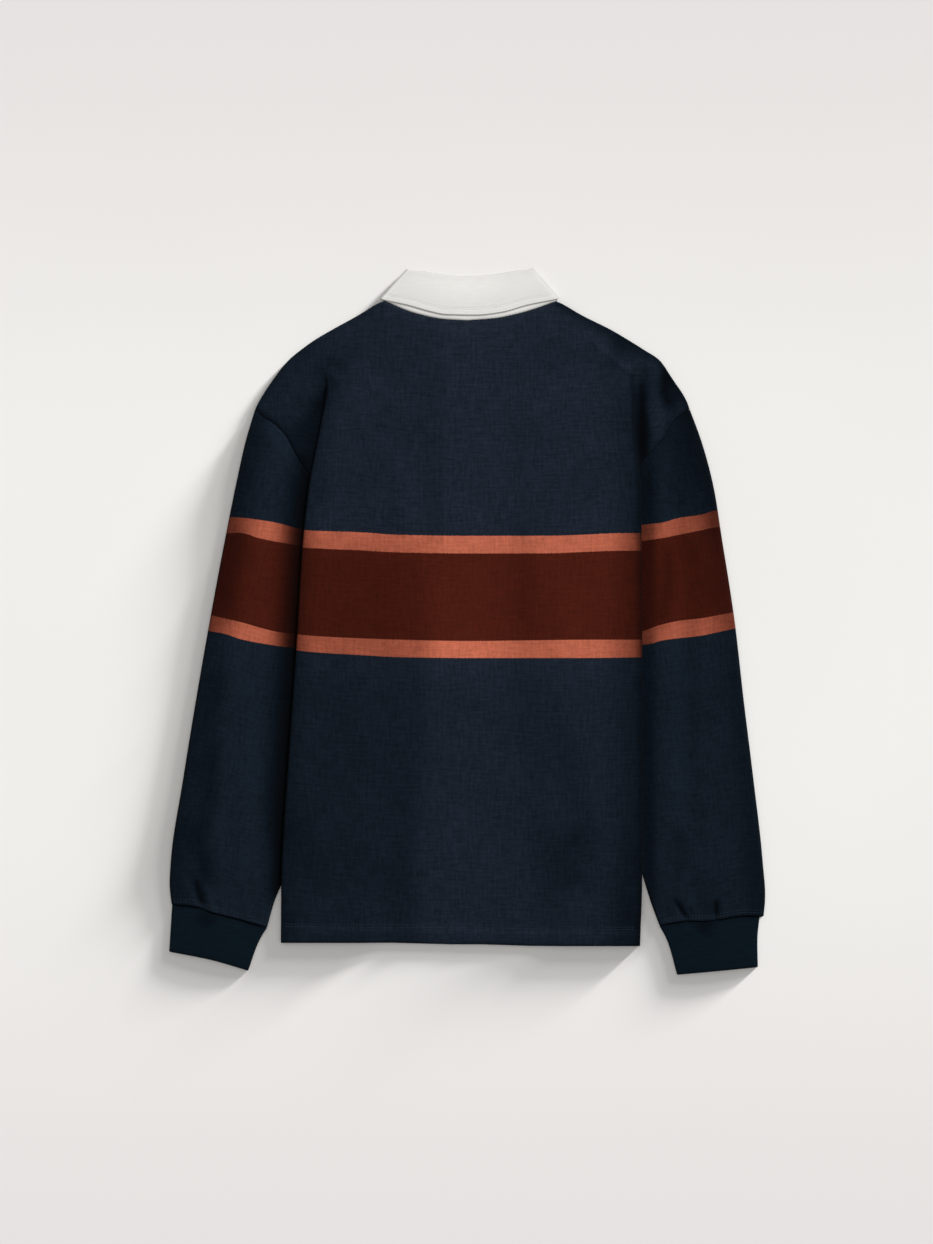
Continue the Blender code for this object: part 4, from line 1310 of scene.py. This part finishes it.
class Nodes:
    """Short ways to add and join the nodes of one material."""

    def __init__(self, name):
        self.material = bpy.data.materials.new(name)
        self.material.use_nodes = True
        self.tree = self.material.node_tree
        self.shader = self.tree.nodes["Principled BSDF"]

    def add(self, kind, **settings):
        node = self.tree.nodes.new(kind)
        for key, value in settings.items():
            setattr(node, key, value)
        return node

    def feed(self, socket, value):
        if isinstance(value, bpy.types.NodeSocket):
            self.tree.links.new(value, socket)
        else:
            socket.default_value = value

    def math(self, operation, first, second=0.0, third=0.0):
        node = self.add("ShaderNodeMath", operation=operation)
        for socket, value in zip(node.inputs, (first, second, third)):
            self.feed(socket, value)
        return node.outputs[0]

    def range(self, value, low, high, to_low, to_high):
        node = self.add("ShaderNodeMapRange")
        for socket, item in zip(node.inputs[:5], (value, low, high, to_low, to_high)):
            self.feed(socket, item)
        return node.outputs[0]

    def blend(self, share, first, second, kind="MIX"):
        node = self.add("ShaderNodeMix", data_type="RGBA", blend_type=kind)
        self.feed(node.inputs[0], share)
        self.feed(node.inputs[6], first)
        self.feed(node.inputs[7], second)
        return node.outputs[2]

    def tinted(self, colour, tone, powers=(1.0, 1.0, 1.0)):
        """The colour made darker or lighter by a number, which may act on each channel differently."""
        shades = self.add("ShaderNodeCombineColor")
        for socket, power in zip(shades.inputs, powers):
            self.feed(socket, tone if power == 1.0 else self.math("POWER", tone, power))
        return self.blend(1.0, colour, shades.outputs[0], "MULTIPLY")

    def noise(self, vector, scale, detail=2.0, roughness=0.5):
        node = self.add("ShaderNodeTexNoise")
        self.feed(node.inputs["Vector"], vector)
        node.inputs["Scale"].default_value = scale
        node.inputs["Detail"].default_value = detail
        node.inputs["Roughness"].default_value = roughness
        return node.outputs[0]

    def stretched(self, vector, across, along_cloth):
        node = self.add("ShaderNodeMapping")
        self.feed(node.inputs["Vector"], vector)
        node.inputs["Scale"].default_value = (across, along_cloth, 1.0)
        return node.outputs[0]

    def attribute(self, name):
        return self.add("ShaderNodeAttribute", attribute_name=name).outputs["Fac"]

    def cloth_place(self):
        """The flat cloth's own place, and its two numbers in metres."""
        place = self.add("ShaderNodeUVMap", uv_map="cloth").outputs[0]
        parts = self.add("ShaderNodeSeparateXYZ")
        self.feed(parts.inputs[0], place)
        return place, parts.outputs[0], parts.outputs[1]

    def finish(self, colour, roughness, height, distance, sheen, specular):
        shader = self.shader
        self.feed(shader.inputs["Base Color"], colour)
        self.feed(shader.inputs["Roughness"], roughness)
        shader.inputs["Sheen Weight"].default_value = sheen
        shader.inputs["Sheen Roughness"].default_value = 0.6
        shader.inputs["Specular IOR Level"].default_value = specular
        bump = self.add("ShaderNodeBump")
        bump.inputs["Strength"].default_value = 1.0
        bump.inputs["Distance"].default_value = distance
        self.feed(bump.inputs["Height"], height)
        self.feed(shader.inputs["Normal"], bump.outputs[0])
        return self.material


NAVY = shade(27, 34.5, 46)
# Painted shade: the sleeves' jersey is the body's navy made darker, as the sleeves lie in more shade
SHADED_SLEEVE_NAVY = shade(22.5, 31.5, 42.5)
RIB_NAVY = shade(7, 19, 27.5)
ORANGE = shade(192, 104, 79)
MAROON = shade(72.5, 26, 15.5)
WHITE = shade(236, 235, 231)
# How strongly red, green and blue fall where shade is painted
NAVY_DARKENS = (1.3, 1.0, 0.92)
ORANGE_DARKENS = (1.5, 1.65, 1.7)
MAROON_DARKENS = (0.95, 1.1, 1.2)
WALE = 0.00125
COURSE = 0.00105
RIB_WALE = 0.00137
RIB_COURSE = 0.0011
TWILL_RIB = 0.0008
TWO_PI = 2 * math.pi


def knit_height(nodes, across, down, wale, course):
    """Rows of small V-shaped stitches, from 0 to 1."""
    column = nodes.math("ABSOLUTE", nodes.math("SINE", nodes.math("MULTIPLY", across, math.pi / wale)))
    slope = nodes.math("MULTIPLY", column, 2.2)
    turn = nodes.math("ADD", nodes.math("MULTIPLY", down, TWO_PI / course), slope)
    loop = nodes.math("MULTIPLY_ADD", nodes.math("SINE", turn), 0.5, 0.5)
    return nodes.math("MULTIPLY_ADD", column, 0.6, nodes.math("MULTIPLY", loop, 0.4))


def jersey(name, navy):
    """Heavy jersey: fine wales, a faint grain both ways and hoops with knitted edges, darkened by
    painted shade.
    """
    nodes = Nodes(name)
    place, across, down = nodes.cloth_place()
    knit = knit_height(nodes, across, down, WALE, COURSE)
    wales = nodes.noise(nodes.stretched(place, 1.0, 0.14), 340.0, 2.0, 0.6)
    courses = nodes.noise(nodes.stretched(place, 0.12, 1.0), 380.0, 2.0, 0.6)
    mottle = nodes.noise(place, 260.0, 3.0, 0.6)
    broad = nodes.noise(place, 14.0, 2.0, 0.5)
    # Painted shade: the tone attribute darkens the navy, orange and maroon where shade falls
    tone = nodes.attribute("tone")
    colour = nodes.tinted(navy, tone, NAVY_DARKENS)
    hoop = nodes.attribute("hoop")
    ragged = nodes.math("MULTIPLY_ADD", nodes.noise(nodes.stretched(place, 1.0, 0.2), 700.0, 1.0),
                        0.0012, -0.0006)
    hoop = nodes.math("ADD", hoop, ragged)
    edge = 0.0003
    top, high, low, bottom = [line * MM for line in HOOP_LINES]
    in_hoop = nodes.math("MULTIPLY", nodes.range(hoop, bottom - edge, bottom + edge, 0.0, 1.0),
                         nodes.range(hoop, top - edge, top + edge, 1.0, 0.0))
    in_maroon = nodes.math("MULTIPLY", nodes.range(hoop, low - edge, low + edge, 0.0, 1.0),
                           nodes.range(hoop, high - edge, high + edge, 1.0, 0.0))
    orange = nodes.tinted(ORANGE, tone, ORANGE_DARKENS)
    maroon = nodes.tinted(MAROON, tone, MAROON_DARKENS)
    colour = nodes.blend(in_maroon, nodes.blend(in_hoop, colour, orange), maroon)
    grain = nodes.math("ADD", nodes.math("MULTIPLY", wales, 0.5), nodes.math("MULTIPLY", courses, 0.5))
    speckle = nodes.math("ADD", nodes.range(grain, 0.3, 0.7, 0.7, 1.3),
                         nodes.range(mottle, 0.3, 0.7, -0.13, 0.13))
    speckle = nodes.math("MULTIPLY", speckle, nodes.range(knit, 0.0, 1.0, 0.84, 1.1))
    speckle = nodes.math("MULTIPLY", speckle, nodes.range(broad, 0.3, 0.7, 0.95, 1.05))
    speckle = nodes.math("POWER", speckle, nodes.range(in_hoop, 0.0, 1.0, 1.35, 0.75))
    colour = nodes.tinted(colour, speckle)
    height = nodes.math("ADD", nodes.math("MULTIPLY", knit, 0.6), nodes.math("MULTIPLY", grain, 0.9))
    rough = nodes.range(mottle, 0.3, 0.7, 0.82, 0.96)
    return nodes.finish(colour, rough, height, 0.00022, 0.015, 0.03)


def rib_cloth():
    nodes = Nodes("navy_rib_knit")
    place, across, down = nodes.cloth_place()
    knit = knit_height(nodes, across, down, RIB_WALE, RIB_COURSE)
    mottle = nodes.noise(place, 300.0, 3.0, 0.6)
    courses = nodes.noise(nodes.stretched(place, 0.15, 1.0), 500.0, 2.0, 0.6)
    tone = nodes.math("MULTIPLY", nodes.range(knit, 0.0, 1.0, 0.8, 1.15),
                      nodes.range(courses, 0.3, 0.7, 0.85, 1.15))
    # Painted shade from the tone attribute
    shadow = nodes.attribute("tone")
    colour = nodes.tinted(RIB_NAVY, nodes.math("MULTIPLY", tone, shadow))
    rough = nodes.range(mottle, 0.3, 0.7, 0.85, 0.97)
    return nodes.finish(colour, rough, knit, 0.0002, 0.015, 0.03)


def twill():
    """Bleached cotton twill: fine diagonal ribs and a faint slub."""
    nodes = Nodes("white_twill_weave")
    place, across, down = nodes.cloth_place()
    diagonal = nodes.math("ADD", across, down)
    wave = nodes.math("SINE", nodes.math("MULTIPLY", diagonal, TWO_PI / TWILL_RIB))
    rib = nodes.math("MULTIPLY_ADD", wave, 0.5, 0.5)
    slub = nodes.noise(nodes.stretched(place, 1.0, 0.15), 500.0, 2.0, 0.6)
    soft = nodes.noise(place, 30.0, 2.0, 0.5)
    tone = nodes.math("MULTIPLY", nodes.range(rib, 0.0, 1.0, 0.97, 1.0),
                      nodes.range(slub, 0.3, 0.7, 0.975, 1.01))
    tone = nodes.math("MULTIPLY", tone, nodes.range(soft, 0.3, 0.7, 0.985, 1.01))
    # Painted shade from the tone attribute
    shadow = nodes.attribute("tone")
    colour = nodes.tinted(WHITE, nodes.math("MULTIPLY", tone, shadow))
    rough = nodes.range(slub, 0.3, 0.7, 0.78, 0.9)
    height = nodes.math("ADD", nodes.math("MULTIPLY", rib, 0.5), nodes.math("MULTIPLY", slub, 0.8))
    return nodes.finish(colour, rough, height, 0.0001, 0.03, 0.2)


def button_material():
    nodes = Nodes("button_pearl")
    place = nodes.add("ShaderNodeTexCoord").outputs["Object"]
    cloud = nodes.noise(place, 350.0, 3.0, 0.6)
    colour = nodes.blend(nodes.range(cloud, 0.35, 0.65, 0.0, 1.0),
                         shade(226, 222, 212), shade(240, 238, 232))
    rough = nodes.range(cloud, 0.3, 0.7, 0.25, 0.38)
    return nodes.finish(colour, rough, cloud, 0.00004, 0.0, 0.5)


def thread_material(name, colour, specular):
    nodes = Nodes(name)
    place = nodes.add("ShaderNodeTexCoord").outputs["Object"]
    twist = nodes.noise(place, 2500.0, 2.0, 0.6)
    tone = nodes.range(twist, 0.3, 0.7, 0.8, 1.15)
    rough = nodes.range(twist, 0.3, 0.7, 0.6, 0.8)
    return nodes.finish(nodes.tinted(colour, tone), rough, twist, 0.00005, 0.0, specular)


def floor_material():
    nodes = Nodes("pale_floor")
    place = nodes.add("ShaderNodeTexCoord").outputs["Object"]
    fine = nodes.noise(place, 3.0, 2.0, 0.5)
    parts = nodes.add("ShaderNodeSeparateXYZ")
    nodes.feed(parts.inputs[0], place)
    # Painted shade: the floor darkens away from the middle towards top and bottom, where the light falls
    # off
    away = nodes.add("ShaderNodeMapRange", interpolation_type="SMOOTHSTEP")
    nodes.feed(away.inputs[0], nodes.math("ABSOLUTE", parts.outputs[1]))
    away.inputs[1].default_value, away.inputs[2].default_value = 0.15, 0.75
    colour = nodes.blend(nodes.range(fine, 0.3, 0.7, 0.0, 1.0),
                         shade(239, 238, 235), shade(241, 240, 237))
    colour = nodes.blend(away.outputs[0], colour, shade(230, 226, 225))
    rough = nodes.range(fine, 0.3, 0.7, 0.9, 0.96)
    return nodes.finish(colour, rough, fine, 0.00001, 0.0, 0.1)


def place_piece(made, node):
    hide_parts(node)
    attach(made, "root")
    return made


# Rows of the back and of the front, above and below the underarm
BACK_ROWS = (66, 118)
FRONT_ROWS = (36, 44)


def body_rows(above, below):
    """Rows of a panel: 0 at the shoulder, 1 at the underarm and 2 at the hem."""
    return [step / above for step in range(above)] + [1 + step / below for step in range(below + 1)]


def build():
    body_cloth = jersey("navy_jersey_body", NAVY)
    shaded_sleeve_cloth = jersey("navy_jersey_sleeve_shaded", SHADED_SLEEVE_NAVY)
    ribbed = rib_cloth()
    white = twill()
    pearl = button_material()
    rows, coarse = body_rows(*BACK_ROWS), body_rows(*FRONT_ROWS)
    back = panel("back_cloth", BACK_NECK, 1, FINE, rows, False, body_cloth)
    pieces = {"back": place_piece(back, "back")}
    front = panel("front_cloth", FRONT_NECK, -1, PLAIN, coarse, True, body_cloth)
    place_piece(front, "front")
    for side, word in ((-1, "left"), (1, "right")):
        made = place_piece(sleeve(side, shaded_sleeve_cloth), f"sleeve_{word}")
        pieces[f"sleeve_{word}"] = made
        made = place_piece(cuff(side, ribbed), f"cuff_{word}")
    made = place_piece(collar(white), "collar")
    pieces["collar"] = made
    top_bottom = PLACKET_LEVEL - PLACKET_HALF_GAP - WALL
    half = SLOT_HALF - EDGE_GAP
    made = place_piece(strip("placket_top_twill", top_bottom, half, white), "placket_top")
    pieces["placket_top"] = made
    made = place_piece(strip("placket_under_twill", top_bottom + WALL + SEAM_GAP, half, white),
                       "placket_under")
    for number, height in enumerate(BUTTON_HEIGHTS, 1):
        made = button(f"button_{number}_dished", height, pearl)
        place_piece(made, f"button_{number}")
    sewing(pieces)


# Distances across between which the hem's height changes, and ends and step of its stitches' line
HEM_REACH = 190
HEM_PLACES = range(-206, 194, 4)


def hem_line(above):
    """Places along the back's hem, this far above it."""
    return [(x, mix(HEM_Y[-1], HEM_Y[1], (x + HEM_REACH) / (2 * HEM_REACH)) + above)
            for x in HEM_PLACES]


def seam_line(side, points, above, start=0.02, end=0.98):
    line = []
    for step in range(61):
        x, y = along(points, mix(start, end, step / 60))
        line.append((side * x, y + above))
    return line


def sewing(pieces):
    """Seam threads and topstitching, in navy a little lighter than the cloth, near black or white. The
    armhole and cuff seams are real seams whose near-black threads paint the shade in them.
    """
    navy = thread_material("navy_thread", shade(37, 46, 57), 0.05)
    # Painted shade: the seam threads are near black to stand for the shade in the seams
    shaded_seam_thread = thread_material("shaded_navy_seam_thread", shade(7, 10, 14), 0.0)
    white = thread_material("white_thread", shade(226, 225, 221), 0.3)
    find = surface_finder(pieces["back"])
    rows = stitches(find, hem_line(HEM_DEPTH - 1.2)) + stitches(find, hem_line(HEM_DEPTH + 1.6))
    thread_mesh("hem_stitches", rows, STITCH_RADIUS, navy)
    thread_mesh("label_stitches", stitches(find, LABEL_OUTLINE, 0.14, 2.2, 0.9), FINE_THREAD, navy)
    for side, word in ((-1, "left"), (1, "right")):
        find = surface_finder(pieces[f"sleeve_{word}"])
        rows = []
        for above in CUFF_STITCHES_ABOVE:
            rows += stitches(find, seam_line(side, CUFF_SEAM[side], above))
        thread_mesh(f"cuff_stitches_{word}", rows, STITCH_RADIUS, navy)
        line = [(x, y, ARMHOLE_SEAM_LEVEL) for x, y in seam_line(side, ARMHOLE[side], -0.1, 0.004, 0.5)]
        thread_mesh(f"armhole_seam_{word}", [line], 0.75, shaded_seam_thread, 8)
        line = [(x, y, CUFF_SEAM_LEVEL) for x, y in seam_line(side, CUFF_SEAM[side], -0.2, 0.01, 0.99)]
        thread_mesh(f"cuff_seam_{word}", [line], 0.85, shaded_seam_thread, 8)
    find = surface_finder(pieces["collar"])
    line = []
    for side in (-1, 1):
        half = []
        for step in range(1, 41):
            roll, leaf, _, _ = collar_base(side, "back", step / 41)
            dx, dy = unit(roll[0] - leaf[0], roll[1] - leaf[1])
            half.append((side * (leaf[0] + dx * COLLAR_STITCH), leaf[1] + dy * COLLAR_STITCH))
        line += list(reversed(half)) if side < 0 else half
    thread_mesh("collar_stitches", stitches(find, line, 0.05, 2.4, 0.7), FINE_THREAD, white)
    find = surface_finder(pieces["placket_top"], True)
    rows = []
    for x in (-SLOT_HALF + 3, SLOT_HALF - 3):
        line = [(x, y) for y in range(int(UNDERARM_Y) + 4, 272, 4)]
        rows += stitches(lambda x, y: find(x, y) - 2 * STITCH_RADIUS * 0.4 + 0.16, line, 0.0, 2.4, 0.8)
    thread_mesh("placket_stitches", rows, FINEST_THREAD, white)
    rows = [path for height in BUTTON_HEIGHTS for path in button_threads(height)]
    thread_mesh("button_threads", rows, FINEST_THREAD, white)


# Half width of the floor in metres
FLOOR_REACH = 6.0


def floor():
    mesh = bpy.data.meshes.new("floor")
    reach = FLOOR_REACH
    mesh.from_pydata([(-reach, -reach, 0), (reach, -reach, 0), (reach, reach, 0), (-reach, reach, 0)],
                     [], [(0, 1, 2, 3)])
    mesh.materials.append(floor_material())
    made = linked("floor", mesh)
    return made


PIXEL = 1.13 * MM
PHOTO_WIDTH, PHOTO_HEIGHT = 933, 1244
MIDDLE_COLUMN, MIDDLE_ROW = 467.0, 621.5
LENS = 100.0
SENSOR = 36.0


def camera():
    data = bpy.data.cameras.new("camera")
    data.lens = LENS
    data.sensor_width = SENSOR
    data.clip_end = 50.0
    made = linked("camera", data)
    distance = PHOTO_HEIGHT * PIXEL * LENS / SENSOR
    made.location = ((PHOTO_WIDTH / 2 - MIDDLE_COLUMN) * PIXEL,
                     (MIDDLE_ROW - PHOTO_HEIGHT / 2) * PIXEL, distance)
    bpy.context.scene.camera = made


# Share of the light that comes evenly from all round
FILL_SHARE = 0.42
# Lights on the shirt and on the floor: direction, elevation and width in degrees, and share
SHIRT_LIGHTS = {"key": (58, 32, 24, 1 - FILL_SHARE)}
FLOOR_LIGHTS = {
    "low_sweep": (43, 3.9, 4.8, 0.34),
    "middle_sweep": (43, 8.4, 10.0, 0.18),
    "overhead": (43, 80.0, 20.0, 0.06),
}


def aimed(name, azimuth, elevation, width, share):
    """A soft sun from this direction that gives flat ground this share of the light."""
    data = bpy.data.lights.new(name, "SUN")
    data.energy = share * math.pi / math.sin(math.radians(elevation))
    data.angle = math.radians(width)
    made = linked(name, data)
    made.rotation_euler = (math.radians(90 - elevation), 0, math.radians(azimuth + 90))
    return made


def lights(ground, pieces):
    world = bpy.data.worlds.new("studio")
    world.use_nodes = True
    world.node_tree.nodes["Background"].inputs[0].default_value = (1.0, 0.995, 0.985, 1.0)
    world.node_tree.nodes["Background"].inputs[1].default_value = FILL_SHARE
    bpy.context.scene.world = world
    for name, members, table in (("on_shirt", pieces, SHIRT_LIGHTS),
                                 ("on_floor", [ground], FLOOR_LIGHTS)):
        group = bpy.data.collections.new(name)
        for member in members:
            group.objects.link(member)
        for light, row in table.items():
            aimed(light, *row).light_linking.receiver_collection = group


def main():
    bpy.context.scene.view_settings.view_transform = "Standard"
    camera()
    ground = floor()
    before = set(bpy.data.objects)
    build()
    lights(ground, [made for made in bpy.data.objects if made not in before])


main()
